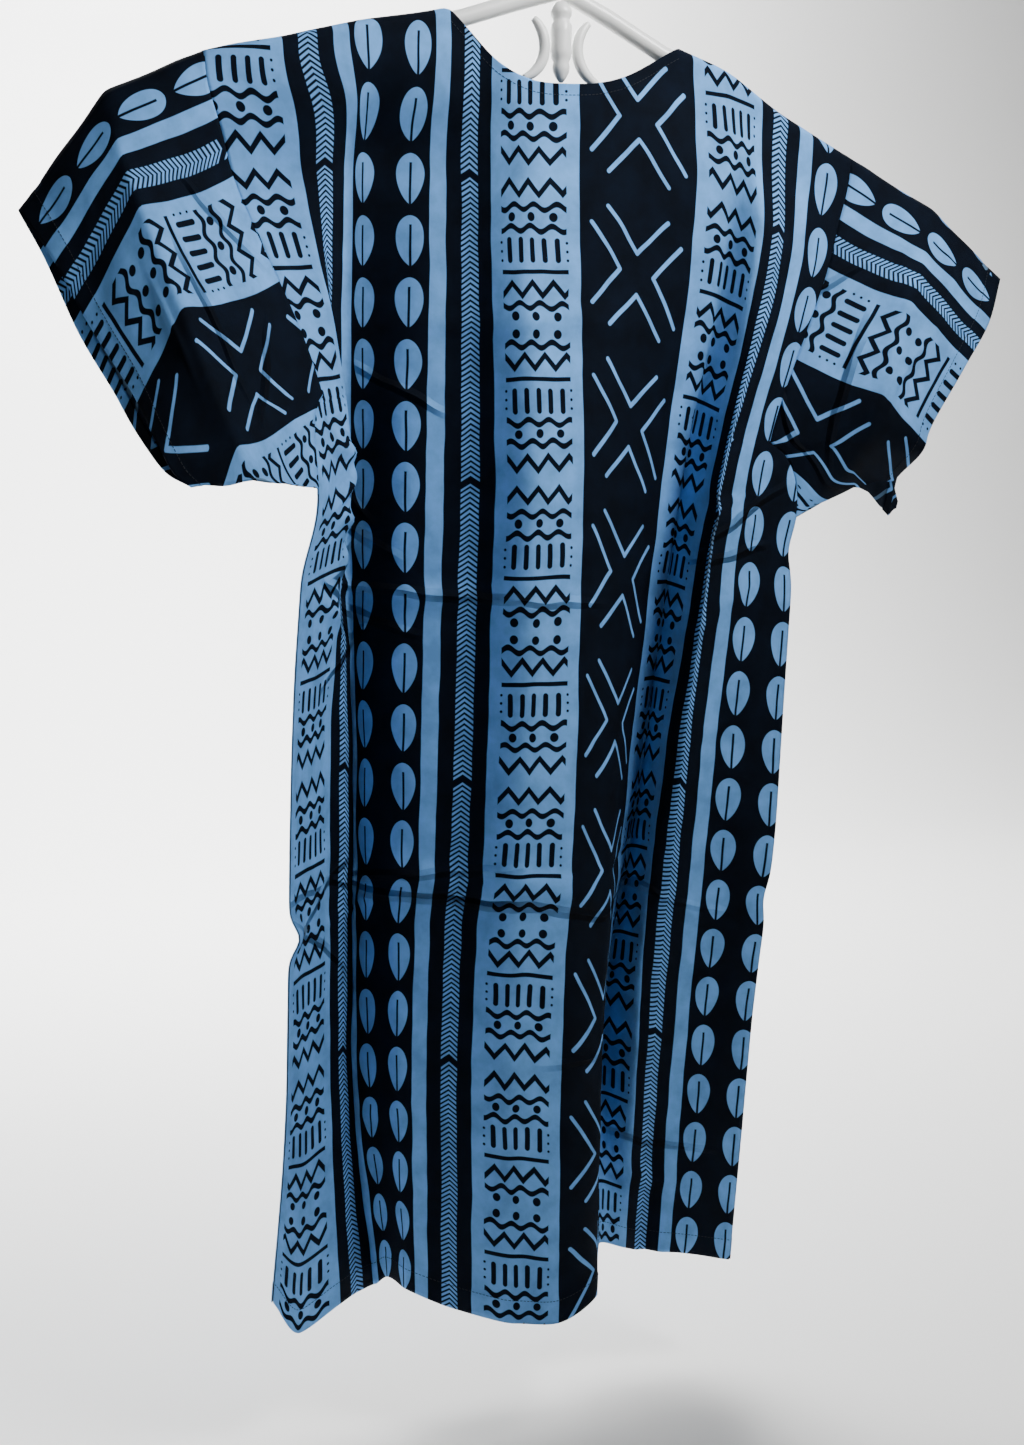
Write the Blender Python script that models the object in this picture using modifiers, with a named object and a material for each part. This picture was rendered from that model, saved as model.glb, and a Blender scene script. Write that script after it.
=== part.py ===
"""A loose short-sleeved tunic of printed cotton on a painted rod hanger.

Metres, +Z up. The front faces -Y and the wearer's right side is at -X. The
origin is the inner top of the hanger's hook, where a rail or peg carries it.

Each panel is worked out in the flat: `cut` runs across the cloth from the -X
side seam, and `down` runs from the neck corner to the hem. Fold lines say where
the hung cloth takes each cut position to, at seven heights.
"""

import math

import bmesh
import bpy
from mathutils import Vector

# The cloth
WALL = 0.0012
SEAM_GAP = 0.0003
BODY_LENGTH = 1.085
SIDE_NEAR = -0.003
SIDE_FAR = 0.680
SHOULDER_LEVEL = 0.155

# The neckline and shoulders, in the flat
NECK_MIDDLE = 0.350
NECK_HALF = 0.1265
NECK_DROP = 0.055
NEAR_NECK_CORNER = 0.2233
FAR_NECK_CORNER = 0.468
NEAR_SHOULDER_SLOPE = 0.2136
FAR_SHOULDER_SLOPE = 0.200
FAR_NECK_LOW = 0.009

# The armholes: how far the edge is cut in from the side seam
ARMHOLE_TOP = 0.045
ARMHOLE_TOP_INSET = 0.022
ARMHOLE_INSET = 0.045
ARMHOLE_SCOOP = 0.305
ARMPIT = 0.365
ARMHOLE_TURN = 0.77
TOP_SETTLE = 0.24
ARMPIT_CLEAR = 0.0046
FRONT_CLEAR = WALL + SEAM_GAP + 0.0006
BACK_CLEAR = WALL + SEAM_GAP + 0.0016
BACK_STEP = 0.0012
UNDER_STEP = 0.0014

# The hanger
ROD_RADIUS = 0.007
WRAP_RADIUS = ROD_RADIUS + SEAM_GAP + WALL + 0.0003
WRAP_FADE = 0.09
ARM_SETTLE = 1.13
WRAP_STEPS = (0.0, 0.0046, 0.0092, 0.0140)
NECK_STEPS = (0.0, 0.0045, 0.0095, 0.0160, 0.0250)
COLUMN_CLEAR = 0.0075
APEX_LEVEL = 0.131
HOOK_WIRE = 0.0028
HOOK_BEND = 0.0248
STEM_RADIUS = 0.009
STEM_FOOT = 0.203
SCROLL_RADIUS = 0.005
ROD_SIDES = 4

# Heights, down the cloth, at which the fold lines are given
LEVELS = (0.0, 0.125, 0.370, 0.450, 0.615, 0.860, 1.085)

# One row for each fold line of the front, from the -X side seam to the other.
# Columns: name and cut position, then one line each for across (x), depth (y)
# and lift (z above the plumb length) at each of the levels, all in millimetres.
FOLD_LINES = (
    (
        "side_near", -3,
        (-321, -298, -217, -231, -239, -243, -246),
        (-14, 3, -45, -43, -36, -23, 34),
        (-12, -7, -16, -6, 8, 5, 22),
    ),
    (
        "edge_roll", 44,
        (-277, -255, -194, -203, -215, -218, -221),
        (-14, 12, -8, -5, 4, 16, 44),
        (-8, -3, -4, 1, 9, 4, -13),
    ),
    (
        "slope_in", 86,
        (-238, -214, -173, -180, -190, -191, -182),
        (-14, 18, 27, 29, 35, 47, 58),
        (-8, 1, 5, 8, 12, 6, 0),
    ),
    (
        "tuck", 108,
        (-218, -193, -186, -182, -175, -175, -163),
        (-14, 22, 36, 39, 50, 60, 69),
        (-7, 5, 7, 7, 7, 4, 3),
    ),
    (
        "valley_near", 136,
        (-190, -171, -170, -168, -161, -161, -142),
        (-14, 30, 54, 59, 70, 81, 84),
        (-5, 8, 6, 5, 1, -5, 2),
    ),
    (
        "slope_out", 160,
        (-166, -160, -158, -158, -156, -153, -134),
        (-14, 28, 45, 48, 54, 61, 70),
        (-3, 6, 7, 5, 1, -4, 13),
    ),
    (
        "chest_near", 201,
        (-124, -123, -129, -130, -133, -138, -130),
        (-15, 18, 17, 17, 18, 24, 34),
        (-2, 6, 4, 3, 1, 2, 17),
    ),
    (
        "stripe", 253,
        (-80, -79, -80, -83, -88, -98, -97),
        (-16, 0, -3, -3, -4, 3, 8),
        (-1, 0, -1, -1, -2, 4, 6),
    ),
    (
        "crest", 318,
        (-34, -35, -35, -38, -44, -54, -51),
        (-20, -22, -46, -47, -50, -42, -34),
        (-3, -1, -1, -1, 0, 4, 2),
    ),
    (
        "middle", 361,
        (7, 7, 6, 3, -3, -13, -10),
        (-22, -24, -39, -41, -45, -39, -27),
        (0, 1, 0, 0, -2, -6, -7),
    ),
    (
        "roll", 410,
        (50, 56, 49, 46, 40, 31, 33),
        (-20, -18, -17, -17, -18, -21, -12),
        (0, 1, -3, -4, -8, -18, 5),
    ),
    (
        "roll_turn", 442,
        (84, 87, 76, 71, 60, 44, 38),
        (-18, -15, 0, 2, 6, 8, 12),
        (-2, 0, -5, -6, -7, -8, 0),
    ),
    (
        "roll_back", 473,
        (115, 118, 102, 94, 78, 56, 50),
        (-16, -12, 18, 22, 31, 35, 30),
        (-6, -2, -6, -6, -7, 0, 8),
    ),
    (
        "valley_far", 505,
        (142, 148, 128, 119, 101, 68, 56),
        (-14, -10, 35, 41, 53, 61, 40),
        (-8, -7, -8, -7, -5, 13, 28),
    ),
    (
        "rise", 559,
        (182, 173, 129, 119, 98, 82, 88),
        (-14, -30, -15, -10, -1, 11, 54),
        (-15, -26, -19, -14, -3, 17, 14),
    ),
    (
        "crest_far", 581,
        (201, 189, 127, 120, 106, 99, 107),
        (-14, -28, -36, -30, -18, 15, 62),
        (-20, -33, -27, -22, -11, 5, 6),
    ),
    (
        "flat_far", 609,
        (227, 212, 151, 145, 132, 126, 125),
        (-14, -20, -24, -20, -12, 19, 48),
        (-26, -37, -28, -25, -17, -1, 6),
    ),
    (
        "side_far", 680,
        (294, 277, 216, 210, 199, 191, 190),
        (-14, -6, -14, -16, -20, 10, 42),
        (-46, -42, -35, -33, -28, -12, -8),
    ),
)

# Where a side seam is drawn in. Columns: name, which seam, height down the
# cloth, how far in, half height (m).
NICKS = (
    ("crease_near", -1, 0.742, 0.0085, 0.013),
    ("crease_far", 1, 0.716, 0.0040, 0.018),
    ("armpit_far", 1, 0.395, 0.0050, 0.020),
)
NICK_REACH = 0.045

# How far the back panel stands behind the line between its two side seams, at
# each level, in millimetres.
BACK_LIFT_FADE = 0.35
BACK_EDGE_STEP = WALL + SEAM_GAP + 0.0009
BACK_DEPTHS = (30, 58, 140, 138, 132, 136, 88)

# One row for each fold line of the back. Columns: name, cut position in
# millimetres, place between the side seams (0 to 1), share of the back's depth.
BACK_LINES = (
    ("side_near", -3, 0.0, 0.0),
    ("side_fold", 60, 0.046, 0.42),
    ("side_turn", 108, 0.090, 0.78),
    ("blade_near", 165, 0.175, 1.00),
    ("hollow_near", 235, 0.300, 0.90),
    ("ridge_near", 310, 0.435, 1.12),
    ("hollow_far", 390, 0.585, 0.90),
    ("ridge_far", 470, 0.730, 1.12),
    ("blade_far", 540, 0.865, 0.98),
    ("side_swell", 603, 0.965, 0.68),
    ("side_turn_far", 643, 0.998, 0.35),
    ("side_far", 680, 1.0, 0.0),
)

# Packing creases pressed across the cloth. Columns: name, height down the
# cloth, slope, cut position of the middle, half length, height, half width (m).
CREASES = (
    ("chest", 0.468, 0.02, 0.24, 0.13, 0.0040, 0.010),
    ("waist", 0.705, 0.05, 0.30, 0.36, 0.0055, 0.013),
    ("waist_low", 0.745, -0.03, 0.20, 0.20, -0.0035, 0.016),
    ("pinch", 0.372, 0.10, 0.58, 0.07, 0.0060, 0.012),
    ("thigh", 1.010, 0.0, 0.58, 0.08, 0.0035, 0.010),
    ("upper", 0.245, -0.04, 0.30, 0.20, 0.0025, 0.010),
)

# The sleeves. One row for each line around the front half, from the shoulder
# fold to the underarm. Columns: name, share of the way round, then the place
# (x, y, z) at the pressed ridge and at the cuff, in millimetres. The back half
# stands behind the front half by up to the gap named below the tables.
NEAR_SLEEVE = (
    ("top", 0.0, (-366, -6, -244), (-430, 10, -331)),
    ("stripe", 0.14, (-360, -28, -287), (-411, -14, -364)),
    ("band_top", 0.29, (-348, -46, -332), (-389, -30, -410)),
    ("band_low", 0.54, (-325, -78, -406), (-360, -70, -470)),
    ("cross_low", 0.88, (-294, -116, -506), (-340, -118, -527)),
    ("under", 1.0, (-280, -108, -533), (-326, -112, -538)),
)
FAR_SLEEVE = (
    ("top", 0.0, (354, -4, -283), (434, 4, -337)),
    ("stripe", 0.16, (334, -26, -326), (407, -14, -384)),
    ("band_top", 0.30, (312, -42, -366), (374, -32, -420)),
    ("band_low", 0.54, (280, -48, -448), (334, -36, -486)),
    ("cross_low", 0.87, (270, -20, -508), (330, 6, -518)),
    ("under", 1.0, (282, -1, -526), (356, 44, -538)),
)
NEAR_SLEEVE_GAP = 0.048
FAR_SLEEVE_GAP = 0.036
SLEEVE_RIDGE = 0.42
FAR_SAG = 0.034
SAG_PLACE = 0.86
SAG_WIDTH = 0.11

CLOTH_COLOR = (0.030, 0.055, 0.095, 1.0)
HANGER_COLOR = (0.86, 0.86, 0.84, 1.0)


def smooth(value):
    value = min(1.0, max(0.0, value))
    return value * value * (3.0 - 2.0 * value)


def mix(a, b, share):
    return a + (b - a) * share


def through(places, values, at):
    """A smooth curve through the values, flat at each of its turning points."""
    count = len(places)
    if at <= places[0]:
        slope = (values[1] - values[0]) / (places[1] - places[0])
        return values[0] + slope * (at - places[0])
    if at >= places[-1]:
        slope = (values[-1] - values[-2]) / (places[-1] - places[-2])
        return values[-1] + slope * (at - places[-1])
    i = max(k for k in range(count - 1) if places[k] <= at)
    slopes = [(values[k + 1] - values[k]) / (places[k + 1] - places[k]) for k in range(count - 1)]

    def tangent(k):
        if k == 0:
            return slopes[0]
        if k == count - 1:
            return slopes[-1]
        before, after = slopes[k - 1], slopes[k]
        if before * after <= 0.0:
            return 0.0
        return 2.0 * before * after / (before + after)

    span = places[i + 1] - places[i]
    t = (at - places[i]) / span
    start = (1.0 + 2.0 * t) * (1.0 - t) ** 2
    leave = t * (1.0 - t) ** 2
    end = t * t * (3.0 - 2.0 * t)
    arrive = t * t * (t - 1.0)
    bend = leave * span * tangent(i) + arrive * span * tangent(i + 1)
    return start * values[i] + end * values[i + 1] + bend


def top_edge(cut):
    """How far down the cloth the neckline or the shoulder seam lies."""
    if cut < NEAR_NECK_CORNER:
        return (NEAR_NECK_CORNER - cut) * NEAR_SHOULDER_SLOPE
    if cut > FAR_NECK_CORNER:
        return FAR_NECK_LOW + (cut - FAR_NECK_CORNER) * FAR_SHOULDER_SLOPE
    share = (cut - NECK_MIDDLE) / NECK_HALF
    return max(0.0, NECK_DROP * (1.0 - share * share))


def down_at(cut, share):
    """How far down the cloth a row lies: along the top edge at first, then level."""
    level = mix(ARMHOLE_TOP, BODY_LENGTH, share)
    return level + (top_edge(cut) - ARMHOLE_TOP) * (1.0 - smooth(share / TOP_SETTLE))


def armhole_inset(down):
    """How far in from the side seam line the panel is cut, at this height."""
    if down >= ARMPIT:
        return 0.0
    if down >= ARMHOLE_SCOOP:
        share = (ARMPIT - down) / (ARMPIT - ARMHOLE_SCOOP)
        return ARMHOLE_INSET * (1.0 - math.sqrt(max(0.0, 1.0 - share * share)))
    share = (down - ARMHOLE_TOP) / (ARMHOLE_SCOOP - ARMHOLE_TOP)
    return mix(ARMHOLE_TOP_INSET, ARMHOLE_INSET, smooth(share))


def crease_lift(cut, down):
    total = 0.0
    for _, height, slope, middle, half, rise, width in CREASES:
        line = height + slope * (cut - middle)
        fade = 1.0 - smooth(abs(cut - middle) / half)
        total += rise * fade * math.exp(-(((down - line) / width) ** 2))
    return total


def arm_line(cut):
    """How far down the cloth the hanger's arm lies, carried on inside the neck."""
    if cut < NECK_MIDDLE:
        return (NEAR_NECK_CORNER - cut) * NEAR_SHOULDER_SLOPE
    return FAR_NECK_LOW + (cut - FAR_NECK_CORNER) * FAR_SHOULDER_SLOPE


def nick(cut, down):
    """How far in a side seam is drawn here, as a step along X."""
    total = 0.0
    for _, side, height, reach, half in NICKS:
        away = cut - SIDE_NEAR if side < 0 else SIDE_FAR - cut
        fade = 1.0 - smooth(away / NICK_REACH)
        total -= side * reach * fade * math.exp(-(((down - height) / half) ** 2))
    return total


def hung_front(cut, down):
    """The front's middle surface by its fold lines alone."""
    cuts = [line[1] / 1000.0 for line in FOLD_LINES]
    across = [through(LEVELS, line[2], down) / 1000.0 for line in FOLD_LINES]
    depth = [through(LEVELS, line[3], down) / 1000.0 for line in FOLD_LINES]
    lift = [through(LEVELS, line[4], down) / 1000.0 for line in FOLD_LINES]
    x = through(cuts, across, cut) + nick(cut, down)
    y = through(cuts, depth, cut) - crease_lift(cut, down)
    z = through(cuts, lift, cut) - SHOULDER_LEVEL - down
    return Vector((x, y, z))


def over_hanger(place, cut, down, side):
    """Lays the cloth near its top edge round the hanger's arm, on side -1 or +1."""
    below = max(0.0, down - arm_line(cut))
    inside = min(cut - NEAR_NECK_CORNER, FAR_NECK_CORNER - cut)
    hold = 1.0 - smooth((inside - 0.015) / 0.05)
    fade = (1.0 - smooth((below - 0.02) / WRAP_FADE)) * hold
    if fade <= 0.0:
        return place
    crown = hung_front(cut, arm_line(cut))
    turn = min(below / WRAP_RADIUS, math.pi / 2.0)
    depth = WRAP_RADIUS * math.sin(turn) + SEAM_GAP / 2.0 + WALL / 2.0
    fall = max(0.0, below - WRAP_RADIUS * math.pi / 2.0) + WRAP_RADIUS * (1.0 - math.cos(turn))
    x = mix(crown.x, place.x, smooth((below - 0.01) / 0.06))
    laid = Vector((x, side * depth, crown.z - fall))
    return place.lerp(laid, fade)


def front_at(cut, down):
    """The point of the front panel's middle surface at this place in the flat."""
    return over_hanger(hung_front(cut, down), cut, down, -1.0)


def back_at(cut, down):
    """The point of the back panel's middle surface at this place in the flat."""
    sides = []
    for line, step in ((FOLD_LINES[0], -1.0), (FOLD_LINES[-1], 1.0)):
        x = through(LEVELS, line[2], down) / 1000.0 + step * BACK_EDGE_STEP
        x += nick(SIDE_NEAR if step < 0 else SIDE_FAR, down)
        y = through(LEVELS, line[3], down) / 1000.0
        z = through(LEVELS, line[4], down) / 1000.0
        sides.append((x, y, z))
    near, far = sides
    cuts = [line[1] / 1000.0 for line in BACK_LINES]
    share = through(cuts, [line[2] for line in BACK_LINES], cut)
    swell = through(cuts, [line[3] for line in BACK_LINES], cut)
    depth = through(LEVELS, BACK_DEPTHS, down) / 1000.0
    x = mix(near[0], far[0], share)
    y = mix(near[1], far[1], share) + swell * depth + 0.4 * crease_lift(cut, down + 0.03)
    front_cuts = [line[1] / 1000.0 for line in FOLD_LINES]
    front_lifts = [through(LEVELS, line[4], down) / 1000.0 for line in FOLD_LINES]
    front_lift = through(front_cuts, front_lifts, cut)
    lift = mix(front_lift, mix(near[2], far[2], share), smooth(down / BACK_LIFT_FADE))
    z = lift - SHOULDER_LEVEL - down
    return over_hanger(Vector((x, y, z)), cut, down, 1.0)


def grid_mesh(rows, closed=False):
    """A surface through rows of points, each row joined to itself where closed."""
    mesh = bmesh.new()
    made = [[mesh.verts.new(point) for point in row] for row in rows]
    across = len(rows[0])
    for i in range(len(rows) - 1):
        for j in range(across if closed else across - 1):
            k = (j + 1) % across
            mesh.faces.new((made[i][j], made[i + 1][j], made[i + 1][k], made[i][k]))
    return mesh


def material(name, color, roughness):
    made = bpy.data.materials.new(name)
    made.use_nodes = True
    shader = made.node_tree.nodes["Principled BSDF"]
    shader.inputs["Base Color"].default_value = color
    shader.inputs["Roughness"].default_value = roughness
    shader.inputs["Metallic"].default_value = 0.0
    return made


def add_object(name, mesh, parts, finish):
    data = bpy.data.meshes.new(name)
    bmesh.ops.recalc_face_normals(mesh, faces=mesh.faces)
    mesh.to_mesh(data)
    mesh.free()
    for polygon in data.polygons:
        polygon.use_smooth = True
    item = bpy.data.objects.new(name, data)
    item.data.materials.append(finish)
    parts.objects.link(item)
    return item


def add_cloth(name, mesh, parts):
    item = add_object(name, mesh, parts, material(name, CLOTH_COLOR, 0.92))
    wall = item.modifiers.new("wall", "SOLIDIFY")
    wall.thickness = WALL
    wall.offset = 0.0
    wall.use_even_offset = False
    return item


def panel_rows(place_at, columns, row_shares):
    """Rows of points from the top edge to the hem, between the two cut edges."""
    rows = []
    for share in row_shares:
        level = mix(ARMHOLE_TOP, BODY_LENGTH, share)
        inset = armhole_inset(level)
        row = []
        for column in columns:
            cut = mix(SIDE_NEAR + inset, SIDE_FAR - inset, column)
            row.append(place_at(cut, down_at(cut, share)))
        rows.append(row)
    return rows


def column_shares(lines, steps):
    """Column places from the fold lines, with more columns where they are wide apart."""
    places = [(line[1] / 1000.0 - SIDE_NEAR) / (SIDE_FAR - SIDE_NEAR) for line in lines]
    shares = [0.0]
    for start, end in zip(places, places[1:]):
        count = max(1, round((end - start) * steps))
        shares += [mix(start, end, (i + 1) / count) for i in range(count)]
    edge = SIDE_NEAR + ARMHOLE_TOP_INSET
    width = SIDE_FAR - ARMHOLE_TOP_INSET - edge
    corners = []
    for step in NECK_STEPS:
        corners += [(NEAR_NECK_CORNER + step - edge) / width, (FAR_NECK_CORNER - step - edge) / width]
    kept = [share for share in shares if min(abs(share - corner) for corner in corners) > COLUMN_CLEAR]
    return sorted(kept + corners)


def armhole_levels():
    """Rows down to the armpit: the height, how far the edge has turned, the share of its length."""
    found = [(ARMHOLE_TOP + step, 0.0, 0.0) for step in WRAP_STEPS]
    found += [(mix(found[-1][0], ARMHOLE_SCOOP, (i + 1) / 9.0), 0.0, 0.0) for i in range(9)]
    deep = ARMHOLE_SCOOP - ARMHOLE_TOP
    found = [(level, 0.0, ARMHOLE_TURN * (level - ARMHOLE_TOP) / deep) for level, _, _ in found]
    for i in range(1, 6):
        angle = i / 5.0 * math.pi / 2.0
        found.append((mix(ARMHOLE_SCOOP, ARMPIT, math.sin(angle)), angle, mix(ARMHOLE_TURN, 1.0, i / 5.0)))
    return found


def row_places(lower):
    """Row places, close together over the hanger's rod and at the armpit, and even below."""
    upper = [(level - ARMHOLE_TOP) / (BODY_LENGTH - ARMHOLE_TOP) for level, _, _ in armhole_levels()]
    return upper + [mix(upper[-1], 1.0, (i + 1) / lower) for i in range(lower)]


def armhole_point(place_at, side, level, angle, clear):
    """A point just outside the armhole edge, at this height and turn of the edge."""
    inset = armhole_inset(level) - clear * math.cos(angle)
    cut = SIDE_NEAR + inset if side < 0 else SIDE_FAR - inset
    down = down_at(cut, (level - ARMHOLE_TOP) / (BODY_LENGTH - ARMHOLE_TOP))
    return place_at(cut, down - ARMPIT_CLEAR * math.sin(angle))


def sleeve_rows(side, table, open_gap, sag, along):
    """Rings of points from the armhole to the cuff, each closed under the arm."""
    places = [line[1] for line in table]
    levels = armhole_levels()
    around = len(levels) - 1

    def station(column, share):
        found = []
        for k in range(3):
            found.append(through(places, [line[column][k] / 1000.0 for line in table], share))
        return Vector(found)

    rows = []
    for i in range(along + 1):
        t = i / along
        row = []
        for j in range(2 * around):
            front = j <= around
            level, angle, share = levels[j if front else 2 * around - j]
            if front:
                start = armhole_point(front_at, side, level, angle, FRONT_CLEAR)
                start = start - Vector((0.0, UNDER_STEP * math.sin(angle), 0.0))
            else:
                start = armhole_point(back_at, side, level, angle, BACK_CLEAR)
                start = start + Vector((side * BACK_STEP, 0.0, 0.0))
            ridge, cuff = station(2, share), station(3, share)
            if not front:
                gap = open_gap * math.sin(math.pi * share)
                ridge = ridge + Vector((side * 0.15 * gap, gap, 0.0))
                drop = sag * math.exp(-(((share - SAG_PLACE) / SAG_WIDTH) ** 2))
                cuff = cuff + Vector((side * 0.10 * gap, gap, -drop))
            if t < SLEEVE_RIDGE:
                point = start.lerp(ridge, t / SLEEVE_RIDGE)
            else:
                point = ridge.lerp(cuff, (t - SLEEVE_RIDGE) / (1.0 - SLEEVE_RIDGE))
            row.append(point)
        rows.append(row)
    return rows


def rod(name, points, radius, parts, finish):
    """A round rod along the points, closed at both ends, as a mesh object."""
    curve = bpy.data.curves.new(name, "CURVE")
    curve.dimensions = "3D"
    curve.bevel_depth = radius
    curve.bevel_resolution = ROD_SIDES - 2
    curve.use_fill_caps = True
    spline = curve.splines.new("POLY")
    spline.points.add(len(points) - 1)
    for point, place in zip(spline.points, points):
        point.co = (place[0], place[1], place[2], 1.0)
    guide = bpy.data.objects.new(name + "_guide", curve)
    bpy.context.scene.collection.objects.link(guide)
    bpy.context.view_layer.update()
    graph = bpy.context.evaluated_depsgraph_get()
    data = bpy.data.meshes.new_from_object(guide.evaluated_get(graph))
    bpy.data.objects.remove(guide)
    mesh = bmesh.new()
    mesh.from_mesh(data)
    bmesh.ops.remove_doubles(mesh, verts=mesh.verts, dist=0.00005)
    return add_object(name, mesh, parts, finish)


def arc(center, radius, start, end, count):
    """Points of a round bend in the XZ plane, angles in degrees from +X."""
    points = []
    for i in range(count + 1):
        angle = math.radians(mix(start, end, i / count))
        points.append((center[0] + radius * math.cos(angle), 0.0, center[1] + radius * math.sin(angle)))
    return points


def arm_center(cut):
    """The middle of the hanger's arm under this place of the shoulder seam."""
    crown = hung_front(cut, arm_line(cut))
    return (crown.x, 0.0, crown.z - ARM_SETTLE * WRAP_RADIUS)


def build_hanger(parts, cutters):
    finish = material("hanger_frame", HANGER_COLOR, 0.35)
    near = [arm_center(mix(0.072, NEAR_NECK_CORNER + 0.02, i / 9.0)) for i in range(10)]
    far = [arm_center(mix(FAR_NECK_CORNER - 0.02, 0.600, i / 9.0)) for i in range(10)]
    bridge = [(near[-1][0] * 0.45, 0.0, mix(near[-1][2], -APEX_LEVEL, 0.58))]
    bridge += [(0.0, 0.0, -APEX_LEVEL)]
    bridge += [(far[0][0] * 0.45, 0.0, mix(far[0][2], -APEX_LEVEL, 0.58))]
    frame = rod("hanger_frame", near + bridge + far, ROD_RADIUS, parts, finish)
    shank = [(0.0, 0.0, -APEX_LEVEL), (0.0, 0.0, -2.0 * HOOK_BEND - 0.02)]
    bend = arc((0.0, HOOK_WIRE - HOOK_BEND), HOOK_BEND, -90.0, 205.0, 18)
    hook = rod("hook_cutter", shank + bend, HOOK_WIRE, cutters, finish)
    hook.display_type = "WIRE"
    join = frame.modifiers.new("hook", "BOOLEAN")
    join.operation = "UNION"
    join.solver = "EXACT"
    join.object = hook

    stem_top = -APEX_LEVEL - 1.45 * ROD_RADIUS
    stem = bmesh.new()
    profile = ((0.0055, stem_top), (STEM_RADIUS, stem_top - 0.008), (STEM_RADIUS, -STEM_FOOT + 0.030))
    profile += ((0.0070, -STEM_FOOT + 0.012), (0.0030, -STEM_FOOT))
    rings = []
    for radius, height in profile:
        ring = []
        for j in range(16):
            angle = math.tau * j / 16
            ring.append(stem.verts.new((radius * math.cos(angle), radius * math.sin(angle), height)))
        rings.append(ring)
    for upper, lower in zip(rings, rings[1:]):
        for j in range(16):
            k = (j + 1) % 16
            stem.faces.new((upper[j], lower[j], lower[k], upper[k]))
    stem.faces.new(rings[0])
    stem.faces.new(rings[-1])
    add_object("hanger_stem", stem, parts, material("hanger_stem", HANGER_COLOR, 0.35))

    bow_x = STEM_RADIUS + SCROLL_RADIUS + SEAM_GAP + 0.0002
    bow = 0.028
    for side, name in ((-1.0, "hanger_scroll_near"), (1.0, "hanger_scroll_far")):
        center = (side * (bow_x + bow), -STEM_FOOT + 0.027)
        first, last = (48.0, -68.0) if side < 0 else (132.0, 248.0)
        points = arc(center, bow, first, last, 12)
        rod(name, points, SCROLL_RADIUS, parts, material(name, HANGER_COLOR, 0.35))


def build():
    for item in list(bpy.data.objects):
        bpy.data.objects.remove(item)
    parts = bpy.data.collections.new("dashiki_on_hanger")
    cutters = bpy.data.collections.new("cutters")
    cutters.hide_render = True
    bpy.context.scene.collection.children.link(parts)
    bpy.context.scene.collection.children.link(cutters)

    front = panel_rows(front_at, column_shares(FOLD_LINES, 34), row_places(17))
    add_cloth("front_panel", grid_mesh(front), parts)
    back = panel_rows(back_at, column_shares(BACK_LINES, 18), row_places(17))
    add_cloth("back_panel", grid_mesh(back), parts)
    sleeves = (
        ("sleeve_near", -1, NEAR_SLEEVE, NEAR_SLEEVE_GAP, 0.0),
        ("sleeve_far", 1, FAR_SLEEVE, FAR_SLEEVE_GAP, FAR_SAG),
    )
    for name, side, table, open_gap, sag in sleeves:
        rings = sleeve_rows(side, table, open_gap, sag, 8)
        add_cloth(name, grid_mesh(rings, closed=True), parts)
    build_hanger(parts, cutters)


build()
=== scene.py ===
"""A loose short-sleeved tunic of blue printed cotton, hung on a white rod hanger.

Metres, +Z up, the front towards -Y, the origin at the inner top of the hook.
Each piece of cloth is worked out in the flat: `cut` runs across it from the -X
side seam and `down` runs from the neck corner to the hem. Fold lines say where
the hung cloth takes each place, and the print is drawn in the flat sizes, so it
follows every fold.
"""

import logging
import math
from dataclasses import dataclass, field
from enum import Enum
from typing import Iterable, Sequence

import bmesh
import bpy
import numpy as np
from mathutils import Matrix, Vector


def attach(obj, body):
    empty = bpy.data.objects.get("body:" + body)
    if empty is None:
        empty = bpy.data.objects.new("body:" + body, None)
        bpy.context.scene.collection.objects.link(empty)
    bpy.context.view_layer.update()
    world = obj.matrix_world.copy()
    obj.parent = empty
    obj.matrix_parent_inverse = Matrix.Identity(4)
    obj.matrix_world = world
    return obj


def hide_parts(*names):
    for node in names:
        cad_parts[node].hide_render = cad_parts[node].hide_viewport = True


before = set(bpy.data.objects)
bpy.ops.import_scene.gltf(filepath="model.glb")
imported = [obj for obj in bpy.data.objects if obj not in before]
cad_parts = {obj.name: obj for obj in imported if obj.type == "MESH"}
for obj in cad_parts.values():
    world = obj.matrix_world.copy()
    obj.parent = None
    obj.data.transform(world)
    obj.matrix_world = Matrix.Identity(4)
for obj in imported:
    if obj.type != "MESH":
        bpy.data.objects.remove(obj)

LOG = logging.getLogger("tunic")
BODY = "root"
Place = tuple[float, float, float]
Inputs = dict[str | int, object]


class Side(Enum):
    """Which side of the garment a piece is on, with its sign along X."""

    NEAR = -1.0
    FAR = 1.0


class Half(Enum):
    """The front or the back of the garment, with its sign along Y."""

    FRONT = -1.0
    BACK = 1.0


def srgb(code: str) -> tuple[float, float, float, float]:
    """Turns an sRGB hex colour into the linear values that shaders take.

    Args:
        code: six hex digits, such as "6a92bc".
    Returns:
        Linear red, green, blue and an alpha of 1.
    """
    found = []
    for i in (0, 2, 4):
        value = int(code[i : i + 2], 16) / 255.0
        found.append(value / 12.92 if value <= 0.04045 else ((value + 0.055) / 1.055) ** 2.4)
    return (found[0], found[1], found[2], 1.0)


def smooth(value: np.ndarray | float) -> np.ndarray:
    """Eases a share from 0 to 1.

    Args:
        value: any numbers; those outside 0 to 1 are clamped.
    Returns:
        The eased share, flat at both ends.
    """
    share = np.clip(value, 0.0, 1.0)
    return share * share * (3.0 - 2.0 * share)


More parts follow.
